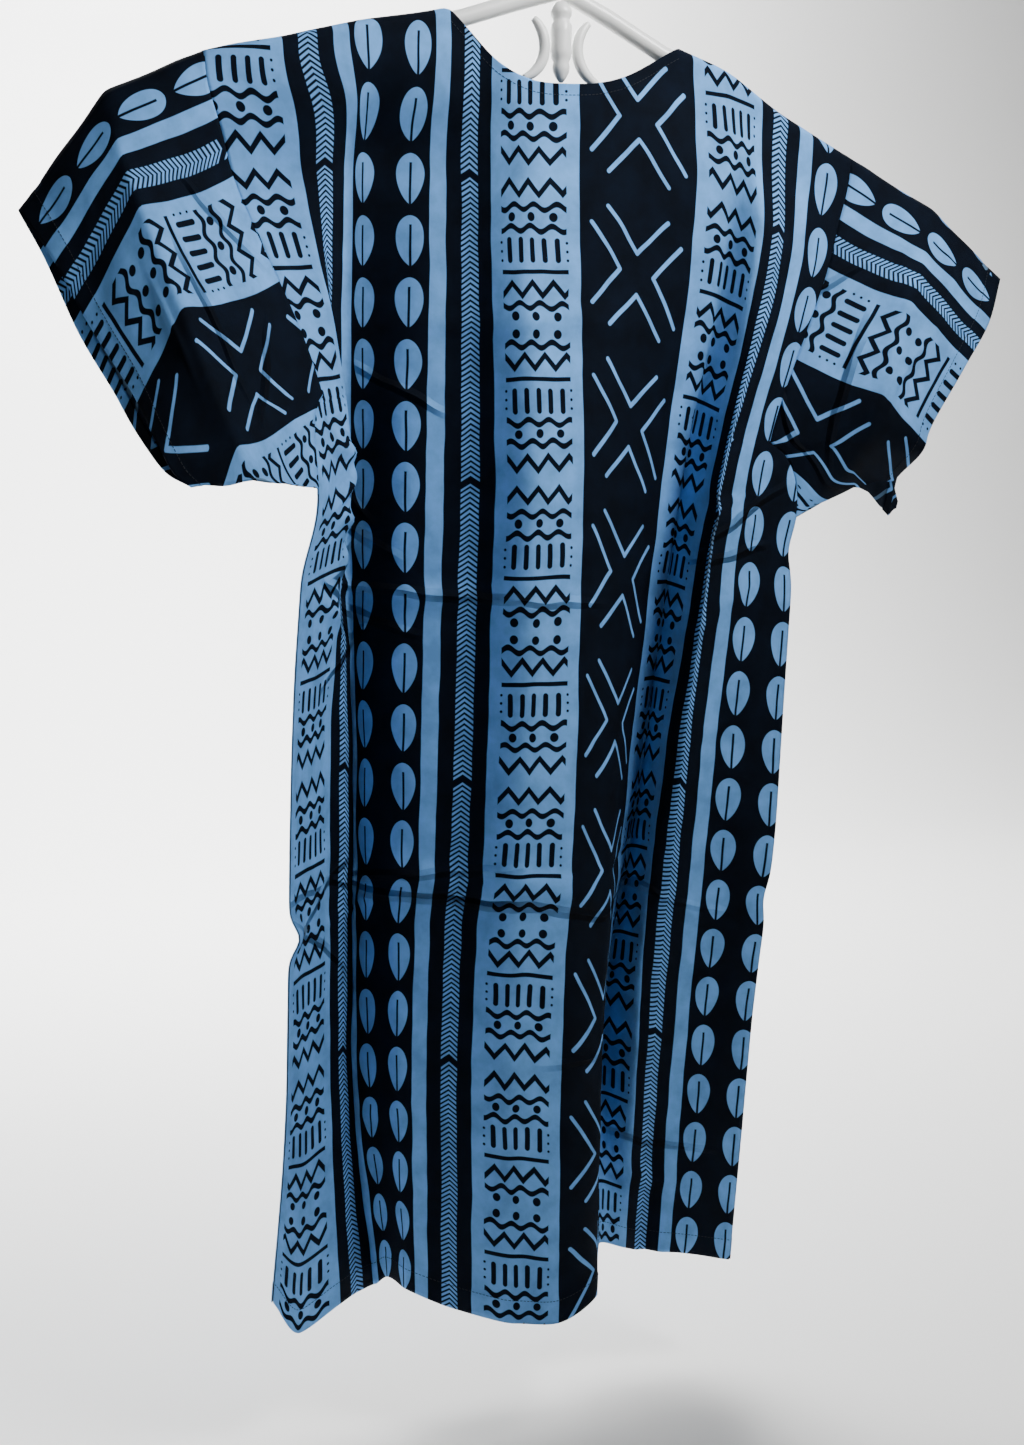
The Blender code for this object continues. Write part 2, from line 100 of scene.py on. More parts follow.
def mix(a: np.ndarray | float, b: np.ndarray | float, share: np.ndarray | float) -> np.ndarray:
    """Blends from a to b.

    Args:
        a: the value at share 0.
        b: the value at share 1.
        share: how far from a to b.
    Returns:
        The blended value.
    """
    return a + (b - a) * share


def through(places: Sequence[float], table: np.ndarray, at: np.ndarray) -> np.ndarray:
    """A smooth curve through rows of a table, flat at each of its turning points.

    Args:
        places: where each row of the table lies, rising.
        table: one row for each place, any number of columns.
        at: the places asked for.
    Returns:
        One row for each asked place.
    """
    spot = np.asarray(places, float)
    rows = np.asarray(table, float).reshape(len(spot), -1)
    want = np.asarray(at, float)
    slopes = np.diff(rows, axis=0) / np.diff(spot)[:, None]
    tangents = np.vstack([slopes[:1], slopes])
    before, after = slopes[:-1], slopes[1:]
    product = before * after
    total = np.where(np.abs(before + after) < 1e-12, 1.0, before + after)
    tangents[1:-1] = np.where(product > 0.0, 2.0 * product / total, 0.0)
    tangents[-1] = slopes[-1]
    low = np.clip(np.searchsorted(spot, want, side="right") - 1, 0, len(spot) - 2)
    span = (spot[low + 1] - spot[low])[:, None]
    share = (want - spot[low])[:, None] / span
    t = np.clip(share, 0.0, 1.0)
    value = (1.0 + 2.0 * t) * (1.0 - t) ** 2 * rows[low] + t * t * (3.0 - 2.0 * t) * rows[low + 1]
    value += t * (1.0 - t) ** 2 * span * tangents[low] + t * t * (t - 1.0) * span * tangents[low + 1]
    beyond = (share - t) * span
    return value + beyond * np.where(share < 0.0, slopes[0], slopes[-1])


def surface_normals(points: np.ndarray, closed: bool = False) -> np.ndarray:
    """Unit normals of a grid of points.

    Args:
        points: an array of rows, columns and 3 coordinates.
        closed: whether each row joins up with its own start.
    Returns:
        An array of the same shape.
    """
    along = np.gradient(points, axis=0)
    if closed:
        across = (np.roll(points, -1, axis=1) - np.roll(points, 1, axis=1)) / 2.0
    else:
        across = np.gradient(points, axis=1)
    normal = np.cross(along, across)
    return normal / np.maximum(np.linalg.norm(normal, axis=2, keepdims=True), 1e-12)


def plug(tree: bpy.types.NodeTree, node: bpy.types.Node, inputs: Inputs) -> None:
    """Gives a node's inputs their values or links.

    Args:
        tree: the node tree.
        node: the node.
        inputs: for each input's name or place, a number, a colour or another node's output.
    """
    for place, value in inputs.items():
        if isinstance(value, bpy.types.NodeSocket):
            tree.links.new(value, node.inputs[place])
        else:
            node.inputs[place].default_value = value


def add_node(
    tree: bpy.types.NodeTree,
    kind: str,
    inputs: Inputs | None = None,
    **settings: object,
) -> bpy.types.Node:
    """Adds one node with its settings and links.

    Args:
        tree: the node tree that gets the node.
        kind: the type of node.
        inputs: what its inputs get, as in plug.
        settings: properties of the node, by name.
    Returns:
        The new node.
    """
    node = tree.nodes.new(kind)
    for name, value in settings.items():
        setattr(node, name, value)
    plug(tree, node, inputs or {})
    return node


class Expr:
    """A number that varies over a surface, built from Math nodes."""

    def __init__(self, tree: bpy.types.NodeTree, socket: bpy.types.NodeSocket) -> None:
        """Wraps a socket.

        Args:
            tree: the node tree that the socket is in.
            socket: the output that holds the number.
        """
        self.tree = tree
        self.socket = socket

    def math(self, operation: str, *others: "Expr | float") -> "Expr":
        """Applies a Math operation with this value first.

        Args:
            operation: the operation, such as "ADD".
            others: the second and third values.
        Returns:
            The result.
        """
        inputs: Inputs = {0: self.socket}
        for place, other in enumerate(others, start=1):
            inputs[place] = other.socket if isinstance(other, Expr) else float(other)
        node = add_node(self.tree, "ShaderNodeMath", inputs, operation=operation)
        return Expr(self.tree, node.outputs[0])

    def __add__(self, other: "Expr | float") -> "Expr":
        """This value plus another."""
        return self.math("ADD", other)

    def __sub__(self, other: "Expr | float") -> "Expr":
        """This value less another."""
        return self.math("SUBTRACT", other)

    def __mul__(self, other: "Expr | float") -> "Expr":
        """This value times another."""
        return self.math("MULTIPLY", other)

    def __abs__(self) -> "Expr":
        """The value without its sign."""
        return self.math("ABSOLUTE")

    def low(self, other: "Expr | float") -> "Expr":
        """The smaller of this value and another."""
        return self.math("MINIMUM", other)

    def high(self, other: "Expr | float") -> "Expr":
        """The larger of this value and another."""
        return self.math("MAXIMUM", other)

    def fold(self, half: float) -> "Expr":
        """Distance from the nearest whole multiple of twice the half.

        Args:
            half: half the repeat.
        Returns:
            A value from 0 to half.
        """
        return self.math("PINGPONG", half)

    def centred(self, middle: float, repeat: float) -> "Expr":
        """Signed distance from the nearest repeat of a place.

        Args:
            middle: the place.
            repeat: the distance between its repeats.
        Returns:
            A value from minus half a repeat to half a repeat.
        """
        return (self - middle).math("WRAP", repeat / 2.0, -repeat / 2.0)

    def distance(self, other: "Expr") -> "Expr":
        """Length of the vector of two values.

        Args:
            other: the second leg.
        Returns:
            The hypotenuse.
        """
        return (self * self + other * other).math("SQRT")


def stroke(x: Expr, y: Expr, start: tuple[float, float], end: tuple[float, float]) -> Expr:
    """Distance from a straight stroke.

    Args:
        x: place across.
        y: place down.
        start: one end of the stroke, metres.
        end: its other end.
    Returns:
        The distance to the nearest point of the stroke.
    """
    run, fall = end[0] - start[0], end[1] - start[1]
    square = run * run + fall * fall
    px, py = x - start[0], y - start[1]
    share = (px * (run / square) + py * (fall / square)).high(0.0).low(1.0)
    return (px - share * run).distance(py - share * fall)


@dataclass(frozen=True)
class BandChart:
    """Sizes of the stripes and motifs of the print, metres in the flat cloth.

    The cloth repeats and mirrors about the middle of the black band with two
    columns of cowrie shells, so places across are given from there.
    """

    # The repeat across, with its mirror line, and the repeat down with its black gaps
    mirror: float = 0.1805
    repeat: float = 0.4729
    drop: float = 0.245
    gap_down: float = 0.125
    gap_half: float = 0.0034
    # The cowrie shells
    shell_column: float = 0.0205
    shell_pitch: float = 0.049
    shell_phase: float = 0.1355
    shell_tip: float = 0.0200
    shell_length: float = 0.0405
    shell_width: float = 0.0280
    shell_edge: float = 0.0005
    shell_point: float = 0.72
    slit_half: float = 0.0011
    slit_top: float = 0.0125
    # The plain stripe and the band of chevrons
    plain: float = 0.0440
    plain_half: float = 0.0070
    arrow: float = 0.0729
    arrow_half: float = 0.0081
    arrow_pitch: float = 0.0043
    arrow_slope: float = 0.63
    arrow_black: float = 0.27
    # The broad light band and its dark marks
    ladder: float = 0.1375
    ladder_half: float = 0.0429
    marks_half: float = 0.0318
    ink_half: float = 0.0021
    rule_half: float = 0.0018
    wave_height: float = 0.0023
    wave_rate: float = 306.0
    tooth_half: float = 0.01015
    tooth_height: float = 0.0053
    dot_radius: float = 0.0037
    dot_gap: float = 0.0206
    bar_half_pitch: float = 0.00585
    bar_half: float = 0.0024
    bar_reach: float = 0.0078
    bars_half: float = 0.0285
    speck_radius: float = 0.0012
    speck_half_pitch: float = 0.0035
    specks_middle: float = 0.0590
    specks_reach: float = 0.0100
    rule: float = 0.0430
    zigzags: tuple[float, ...] = (0.0290, 0.1100)
    waves: tuple[tuple[float, float], ...] = ((0.0156, 0.0), (0.0774, 1.9), (0.0947, 0.7))
    dots: tuple[float, ...] = (0.0070, 0.0868)
    bars: float = 0.0604
    # The black band's crosses
    cross_down: float = 0.200
    cross_lean: float = 0.13
    stroke_half: float = 0.0018

    def shells(self, q: Expr, down: Expr) -> Expr:
        """Pointed oval shells with a slit.

        Args:
            q: place from the mirror line.
            down: place down the cloth.
        Returns:
            Signed distance, negative on the light parts.
        """
        x = abs(q - self.shell_column)
        y = down.centred(self.shell_phase, self.shell_pitch)
        share = ((y + self.shell_tip) * (1.0 / self.shell_length)).high(0.0).low(1.0)
        rest = share.math("MULTIPLY_ADD", -1.0, 1.0)
        width = share.math("SQRT") * rest.math("POWER", self.shell_point) * self.shell_width
        oval = x - width + self.shell_edge
        slit = (x - self.slit_half).high((y + self.slit_top) * -1.0)
        return oval.high(slit * -1.0)

    def arrows(self, q: Expr, down: Expr) -> Expr:
        """A narrow band of fine chevrons, with a black gap once a repeat.

        Args:
            q: place from the mirror line.
            down: place down the cloth.
        Returns:
            Signed distance, negative on the light parts.
        """
        x = abs(q - self.arrow)
        slid = down - x * self.arrow_slope
        # A chevron lies aslant, so a distance down the cloth is longer than its width
        aslant = 0.85
        black = self.arrow_pitch * aslant * self.arrow_black
        bars = slid.fold(self.arrow_pitch / 2.0) * aslant - black
        gap = (slid - self.gap_down).fold(self.drop / 2.0) * -1.0 + self.gap_half
        return (x - self.arrow_half).high(bars).high(gap)

    def ladder_ink(self, a: Expr, w: Expr) -> Expr:
        """The dark marks of the broad light band, from the middle of its repeat on.

        They are a cross rule, zigzags, waves, rows of dots, a ladder of bars and
        the specks beside it.

        Args:
            a: place across from the band's middle.
            w: place along from the middle of its repeat.
        Returns:
            Distance from the nearest mark's edge, negative inside it.
        """
        size = abs(a)
        marks = abs(w - self.rule) - self.rule_half
        for middle in self.zigzags:
            tooth = (a + 0.0325).fold(self.tooth_half) * 1.05 - self.tooth_height
            marks = marks.low(abs(w - middle - tooth) * 0.69 - self.ink_half)
        for middle, turn in self.waves:
            wave = (a * self.wave_rate + turn).math("SINE") * self.wave_height
            marks = marks.low(abs(w - middle - wave) * 0.88 - self.ink_half)
        dot = size.low(abs(size - self.dot_gap))
        for middle in self.dots:
            marks = marks.low(dot.distance(w - middle) - self.dot_radius)
        marks = marks.high(size - self.marks_half)
        reach = (abs(w - self.bars) - self.bar_reach).high(0.0)
        bars = size.fold(self.bar_half_pitch).distance(reach) - self.bar_half
        bars = bars.high(size - self.bars_half)
        row = (w - self.specks_middle + 0.07).fold(self.speck_half_pitch)
        specks = abs(size - self.marks_half).distance(row) - self.speck_radius
        specks = specks.high(abs(w - self.specks_middle) - self.specks_reach)
        return marks.low(bars).low(specks)

    def crosses(self, x: Expr, down: Expr) -> Expr:
        """Large open crosses, each made of four bent strokes that don't meet.

        Args:
            x: signed place across from the band's middle.
            down: place down the cloth.
        Returns:
            Signed distance, negative on the light strokes.
        """
        y = down.centred(self.cross_down, self.drop / 2.0) - x * self.cross_lean
        r = abs(x)
        upper = stroke(r, y, (0.0, -0.0165), (0.0300, -0.0470))
        lower = stroke(r, y, (0.0, 0.0165), (0.0290, 0.0470))
        beside_upper = stroke(r, y, (0.0175, 0.0), (0.0450, -0.0310))
        beside_lower = stroke(r, y, (0.0175, 0.0), (0.0450, 0.0330))
        return upper.low(lower).low(beside_upper).low(beside_lower) - self.stroke_half

    def light(self, cut: Expr, down: Expr) -> Expr:
        """The whole print.

        Args:
            cut: place across the flat cloth.
            down: place down the flat cloth.
        Returns:
            Signed distance, negative on the light parts.
        """
        x = cut.centred(self.mirror + self.repeat / 2.0, self.repeat)
        q = abs(x).math("MULTIPLY_ADD", -1.0, self.repeat / 2.0)
        s = (down - self.gap_down).fold(self.drop / 2.0)
        w = s.math("MULTIPLY_ADD", -1.0, self.drop / 2.0)
        a = q - self.ladder
        ladder = (abs(a) - self.ladder_half).high(self.ladder_ink(a, w) * -1.0)
        found = ladder.low(abs(q - self.plain) - self.plain_half)
        found = found.low(self.arrows(q, down)).low(self.crosses(x, down))
        return found.low(self.shells(q, down))


@dataclass(frozen=True)
class Crease:
    """A crease in the cloth: a low ridge along a line of the flat cloth.

    Its middle's place across and down, its angle in degrees, half its length,
    how high it rises and half its width. A negative rise is a furrow.
    """

    cut: float
    down: float
    angle: float
    half: float
    rise: float
    width: float

    def lift(self, cut: np.ndarray, down: np.ndarray) -> np.ndarray:
        """How far the crease lifts the cloth.

        Args:
            cut: places across.
            down: places down.
        Returns:
            The lift, metres.
        """
        turn = math.radians(self.angle)
        x, y = cut - self.cut, down - self.down
        along = x * math.cos(turn) + y * math.sin(turn)
        away = y * math.cos(turn) - x * math.sin(turn)
        bend = away + 0.10 * self.half * np.sin(along / self.half * 2.1)
        fade = 1.0 - smooth(np.abs(along) / self.half)
        return self.rise * fade * np.exp(-((bend / self.width) ** 2))

    def height(self, across: Expr, down: Expr) -> Expr:
        """The same line as a sharp pressed ridge, for the cloth's fine relief.

        Args:
            across: place across the cloth.
            down: place down the cloth.
        Returns:
            The height as a share of the crease's rise.
        """
        turn = math.radians(self.angle)
        c, s = math.cos(turn), math.sin(turn)
        start = -(self.cut * c + self.down * s) / self.half
        along = down.math("MULTIPLY_ADD", s / self.half, start)
        along = across.math("MULTIPLY_ADD", c / self.half, along)
        start = (self.cut * s - self.down * c) / self.width
        away = down.math("MULTIPLY_ADD", c / self.width, start)
        away = across.math("MULTIPLY_ADD", -s / self.width, away)
        tent = abs(away).math("MULTIPLY_ADD", -1.0, 1.0).high(0.0)
        return tent * abs(along).math("MULTIPLY_ADD", -1.0, 1.0).high(0.0)


@dataclass(frozen=True)
class PrintedCotton:
    """Resist-style print on plain-woven cotton.

    The dye soaks in, so both colours share one matt cloth that hardly shines.
    To the eye it gives edges that bleed a third of a millimetre and wander a
    little, and a faint unevenness in each colour. The wrong side shows the
    print paler. The finest pressed creases are relief in the finish, drawn
    `relief` times as steep as they are, because at their true height they are
    too fine to show.
    """

    name: str
    light_code: str = "70abec"
    dark_code: str = "040c19"
    roughness: float = 0.88
    gloss: float = 0.10
    thread_pitch: float = 0.00056
    bleed: float = 0.00032
    wander: float = 0.0011
    pressings: tuple[Crease, ...] = ()
    relief: float = 9.0

    def make(self, chart: BandChart) -> bpy.types.Material:
        """Builds the material.

        Args:
            chart: the print's sizes.
        Returns:
            The material, which reads the flat place from the UV map.
        """
        made = bpy.data.materials.new(self.name)
        made.use_nodes = True
        tree = made.node_tree
        shader = tree.nodes["Principled BSDF"]
        uv = add_node(tree, "ShaderNodeUVMap", uv_map="flat").outputs[0]
        flat = add_node(tree, "ShaderNodeSeparateXYZ", {0: uv})
        across = Expr(tree, flat.outputs[0])
        down = Expr(tree, flat.outputs[1]) * -1.0
        # The print wanders in waves about 38 mm long
        wobble = add_node(
            tree,
            "ShaderNodeTexNoise",
            {"Vector": uv, "Scale": 26.0, "Detail": 1.0},
            noise_dimensions="2D",
        )
        shift = add_node(tree, "ShaderNodeSeparateColor", {0: wobble.outputs["Color"]})
        drift_x = (Expr(tree, shift.outputs[0]) - 0.5) * (2.0 * self.wander)
        drift_y = (Expr(tree, shift.outputs[1]) - 0.5) * (2.6 * self.wander)
        inked = chart.light(across + drift_x, down + drift_y)
        edge = add_node(
            tree,
            "ShaderNodeMapRange",
            {"Value": inked.socket, "From Min": self.bleed, "From Max": -self.bleed},
            interpolation_type="SMOOTHSTEP",
        )
        # The dye takes unevenly, in clouds about 29 mm wide with finer ones inside
        cloud = add_node(
            tree,
            "ShaderNodeTexNoise",
            {"Vector": uv, "Scale": 34.0, "Detail": 5.0, "Roughness": 0.62},
            noise_dimensions="2D",
        ).outputs["Fac"]
        light = self.tone(tree, cloud, self.light_code, 0.80, 1.16)
        dark = self.tone(tree, cloud, self.dark_code, 0.70, 1.45)
        ink = add_node(
            tree,
            "ShaderNodeMix",
            {"Factor": edge.outputs["Result"], 6: dark, 7: light},
            data_type="RGBA",
        )
        # Threads and pressed lines wander more than the print does
        loose_across, loose_down = across + drift_y * 2.5, down + drift_x * 2.5
        finish = {
            "Base Color": ink.outputs[2],
            "Normal": self.weave(tree, loose_across, loose_down, cloud),
            "Roughness": self.roughness,
            "Specular IOR Level": self.gloss,
        }
        plug(tree, shader, finish)
        return made

    def tone(
        self,
        tree: bpy.types.NodeTree,
        noise: bpy.types.NodeSocket,
        code: str,
        low: float,
        high: float,
    ) -> bpy.types.NodeSocket:
        """A dye colour with a faint unevenness.

        Args:
            tree: the node tree.
            noise: the cloudy value that varies it.
            code: the sRGB colour.
            low: how much darker it gets.
            high: how much lighter it gets.
        Returns:
            The colour's socket.
        """
        ramp = add_node(tree, "ShaderNodeValToRGB", {0: noise})
        base = srgb(code)
        for stop, place, share in ((0, 0.30, low), (1, 0.72, high)):
            ramp.color_ramp.elements[stop].position = place
            color = [min(1.0, channel * share) for channel in base[:3]]
            ramp.color_ramp.elements[stop].color = (*color, 1.0)
        return ramp.outputs[0]

    def weave(
        self,
        tree: bpy.types.NodeTree,
        across: Expr,
        down: Expr,
        cloud: bpy.types.NodeSocket,
    ) -> bpy.types.NodeSocket:
        """A plain weave, the soft crumple of washed cotton and its pressed lines.

        Args:
            tree: the node tree.
            across: place across the cloth.
            down: place down the cloth.
            cloud: a cloudy value, for the crumple.
        Returns:
            The normal's socket.
        """
        turns = math.tau / self.thread_pitch
        warp = (across * turns).math("SINE")
        weft = (down * turns).math("SINE")
        threads = (warp * weft) * 0.5 + Expr(tree, cloud) * 0.8
        bump: Inputs = {"Height": threads.socket, "Strength": 0.35, "Distance": 0.0003}
        if self.pressings:
            first = self.pressings[0]
            relief = first.height(across, down) * first.rise
            for crease in self.pressings[1:]:
                relief = crease.height(across, down).math("MULTIPLY_ADD", crease.rise, relief)
            pressed = {"Height": relief.socket, "Strength": 1.0, "Distance": self.relief}
            bump["Normal"] = add_node(tree, "ShaderNodeBump", pressed).outputs[0]
        return add_node(tree, "ShaderNodeBump", bump).outputs[0]


@dataclass(frozen=True)
class PlainFinish:
    """A finish of one colour with a fine grain.

    Used for spun sewing thread, for satin sprayed paint on the steel hanger and
    for the matt floor. The grain is only in the roughness and bump, so the
    colour stays clean. Its scale is in grains per metre.
    """

    name: str
    code: str
    roughness: float
    grain: float
    grain_scale: float
    ior: float = 1.5
    coat: float = 0.0
    unevenness: float = 0.06
    grain_height: float = 0.0002

    def make(self) -> bpy.types.Material:
        """Builds the material.

        Returns:
            The material.
        """
        made = bpy.data.materials.new(self.name)
        made.use_nodes = True
        tree = made.node_tree
        shader = tree.nodes["Principled BSDF"]
        place = add_node(tree, "ShaderNodeTexCoord").outputs["Object"]
        noise = add_node(
            tree,
            "ShaderNodeTexNoise",
            {"Vector": place, "Scale": self.grain_scale, "Detail": 4.0},
        ).outputs["Fac"]
        low, high = self.roughness - self.unevenness, self.roughness + self.unevenness
        spread = add_node(
            tree,
            "ShaderNodeMapRange",
            {"Value": noise, "To Min": low, "To Max": high},
        )
        bump = add_node(
            tree,
            "ShaderNodeBump",
            {"Height": noise, "Strength": self.grain, "Distance": self.grain_height},
        )
        finish = {
            "Base Color": srgb(self.code),
            "Roughness": spread.outputs["Result"],
            "Normal": bump.outputs[0],
            "IOR": self.ior,
            "Coat Weight": self.coat,
        }
        plug(tree, shader, finish)
        return made


# Sewing: a stitch's length, the cloth between two, and the thread's radius
STITCH = 0.0027
STITCH_GAP = 0.0007
THREAD_RADIUS = 0.00028

# A stitch's rings. Columns: place along it, share of the thread's radius, and
# how far it rises out of the cloth, in thread radii. Its ends dive into the cloth.
STITCH_RINGS = ((0.0, 0.45, -0.6), (0.22, 1.0, 0.35), (0.78, 1.0, 0.35), (1.0, 0.45, -0.6))

# Spacing of the grid on which the hung surface is worked out once, across and down
CUT_STEP = 0.002
DOWN_STEP = 0.0025

# Heights, down the cloth, at which the fold lines are given
LEVELS = (0.0, 0.125, 0.370, 0.450, 0.615, 0.860, 1.085)

# One row for each fold line of the front, from the -X side seam to the other.
# Columns: name and cut position, then one line each for across (x), depth (y)
# and lift (z above the plumb length) at each of the levels, all in millimetres.
FOLD_LINES = (
    (
        "side_near", -3,
        (-321, -298, -217, -231, -239, -243, -246),
        (-14, 3, -45, -43, -36, -23, 34),
        (-12, -7, -16, -6, 8, 5, 22),
    ),
    (
        "edge_roll", 44,
        (-277, -255, -194, -203, -215, -218, -221),
        (-14, 12, -8, -5, 4, 16, 44),
        (-8, -3, -4, 1, 9, 4, -13),
    ),
    (
        "slope_in", 86,
        (-238, -214, -173, -180, -190, -191, -182),
        (-14, 18, 27, 29, 35, 47, 58),
        (-8, 1, 5, 8, 12, 6, 0),
    ),
    (
        "tuck", 108,
        (-218, -193, -186, -182, -175, -175, -163),
        (-14, 22, 36, 39, 50, 60, 69),
        (-7, 5, 7, 7, 7, 4, 3),
    ),
    (
        "valley_near", 136,
        (-190, -171, -170, -168, -161, -161, -142),
        (-14, 30, 54, 59, 70, 81, 84),
        (-5, 8, 6, 5, 1, -5, 2),
    ),
    (
        "slope_out", 160,
        (-166, -160, -158, -158, -156, -153, -134),
        (-14, 28, 45, 48, 54, 61, 70),
        (-3, 6, 7, 5, 1, -4, 13),
    ),
    (
        "chest_near", 201,
        (-124, -123, -129, -130, -133, -138, -130),
        (-15, 18, 17, 17, 18, 24, 34),
        (-2, 6, 4, 3, 1, 2, 17),
    ),
    (
        "stripe", 253,
        (-80, -79, -80, -83, -88, -98, -97),
        (-16, 0, -3, -3, -4, 3, 8),
        (-1, 0, -1, -1, -2, 4, 6),
    ),
    (
        "crest", 318,
        (-34, -35, -35, -38, -44, -54, -51),
        (-20, -22, -46, -47, -50, -42, -34),
        (-3, -1, -1, -1, 0, 4, 2),
    ),
    (
        "middle", 361,
        (7, 7, 6, 3, -3, -13, -10),
        (-22, -24, -39, -41, -45, -39, -27),
        (0, 1, 0, 0, -2, -6, -7),
    ),
    (
        "roll", 410,
        (50, 56, 49, 46, 40, 31, 33),
        (-20, -18, -17, -17, -18, -21, -12),
        (0, 1, -3, -4, -8, -18, 5),
    ),
    (
        "roll_turn", 442,
        (84, 87, 76, 71, 60, 44, 38),
        (-18, -15, 0, 2, 6, 8, 12),
        (-2, 0, -5, -6, -7, -8, 0),
    ),
    (
        "roll_back", 473,
        (115, 118, 102, 94, 78, 56, 50),
        (-16, -12, 18, 22, 31, 35, 30),
        (-6, -2, -6, -6, -7, 0, 8),
    ),
    (
        "valley_far", 505,
        (142, 148, 128, 119, 101, 68, 56),
        (-14, -10, 35, 41, 53, 61, 40),
        (-8, -7, -8, -7, -5, 13, 28),
    ),
    (
        "rise", 559,
        (182, 173, 129, 119, 98, 82, 88),
        (-14, -30, -15, -10, -1, 11, 54),
        (-15, -26, -19, -14, -3, 17, 14),
    ),
    (
        "crest_far", 581,
        (201, 189, 127, 120, 106, 99, 107),
        (-14, -28, -36, -30, -18, 15, 62),
        (-20, -33, -27, -22, -11, 5, 6),
    ),
    (
        "flat_far", 609,
        (227, 212, 151, 145, 132, 126, 125),
        (-14, -20, -24, -20, -12, 19, 48),
        (-26, -37, -28, -25, -17, -1, 6),
    ),
    (
        "side_far", 680,
        (294, 277, 216, 210, 199, 191, 190),
        (-14, -6, -14, -16, -20, 10, 42),
        (-46, -42, -35, -33, -28, -12, -8),
    ),
)

# Where a side seam is drawn in. Columns: name, which seam, height down the
# cloth, how far in, half height (m).
NICKS = (
    ("crease_near", -1, 0.742, 0.0085, 0.013),
    ("crease_far", 1, 0.716, 0.0040, 0.018),
    ("armpit_far", 1, 0.395, 0.0050, 0.020),
)

# How far the back panel stands behind the line between its two side seams, at
# each level, in millimetres.
BACK_DEPTHS = (30, 58, 140, 138, 132, 136, 88)

# One row for each fold line of the back. Columns: name, cut position in
# millimetres, place between the side seams (0 to 1), share of the back's depth.
BACK_LINES = (
    ("side_near", -3, 0.0, 0.0),
    ("side_fold", 60, 0.053, 0.42),
    ("side_turn", 108, 0.090, 0.78),
    ("blade_near", 165, 0.175, 1.00),
    ("hollow_near", 235, 0.300, 0.90),
    ("ridge_near", 310, 0.435, 1.12),
    ("hollow_far", 390, 0.585, 0.90),
    ("ridge_far", 470, 0.730, 1.12),
    ("blade_far", 540, 0.865, 0.98),
    ("side_swell", 603, 0.965, 0.68),
    ("side_turn_far", 643, 0.998, 0.35),
    ("side_far", 680, 1.0, 0.0),
)

# Packing creases pressed across the cloth. Columns: name, height down the
# cloth, slope, cut position of the middle, half length, height, half width (m).
CREASES = (
    ("chest", 0.468, 0.02, 0.24, 0.13, 0.0040, 0.010),
    ("waist", 0.705, 0.05, 0.30, 0.36, 0.0055, 0.013),
    ("waist_low", 0.745, -0.03, 0.20, 0.20, -0.0035, 0.016),
    ("pinch", 0.372, 0.10, 0.58, 0.07, 0.0060, 0.012),
    ("thigh", 1.010, 0.0, 0.58, 0.08, 0.0035, 0.010),
    ("upper", 0.245, -0.04, 0.30, 0.20, 0.0025, 0.010),
)

# The sleeves. One row for each line around the front half, from the shoulder
# fold to the underarm. Columns: name, share of the way round, then the place
# (x, y, z) at the pressed ridge and at the cuff, in millimetres. The back half
# stands behind the front half by up to the gap named below the tables.
NEAR_SLEEVE = (
    ("top", 0.0, (-366, -6, -244), (-430, 10, -331)),
    ("stripe", 0.14, (-360, -28, -287), (-411, -14, -364)),
    ("band_top", 0.29, (-348, -46, -332), (-389, -30, -410)),
    ("band_low", 0.54, (-325, -78, -406), (-360, -70, -470)),
    ("cross_low", 0.88, (-294, -116, -506), (-340, -118, -527)),
    ("under", 1.0, (-280, -108, -533), (-326, -112, -538)),
)
FAR_SLEEVE = (
    ("top", 0.0, (354, -4, -283), (434, 4, -337)),
    ("stripe", 0.16, (334, -26, -326), (407, -14, -384)),
    ("band_top", 0.30, (312, -42, -366), (374, -32, -420)),
    ("band_low", 0.54, (280, -48, -448), (334, -36, -486)),
    ("cross_low", 0.87, (270, -20, -508), (330, 6, -518)),
    ("under", 1.0, (282, -1, -526), (356, 44, -538)),
)

# The hanger's turned stem. Columns: share of its radius, then metres below its
# top for the upper part and above its foot for the lower.
STEM_TOP = (
    (0.55, 0.0),
    (0.80, 0.003),
    (1.00, 0.007),
    (0.96, 0.010),
    (0.78, 0.0125),
    (0.78, 0.015),
    (0.98, 0.018),
    (1.00, 0.024),
)
STEM_FOOT = (
    (0.92, 0.030),
    (0.98, 0.024),
    (0.90, 0.019),
    (0.72, 0.016),
    (0.80, 0.012),
    (0.74, 0.008),
    (0.45, 0.003),
    (0.20, 0.0),
)

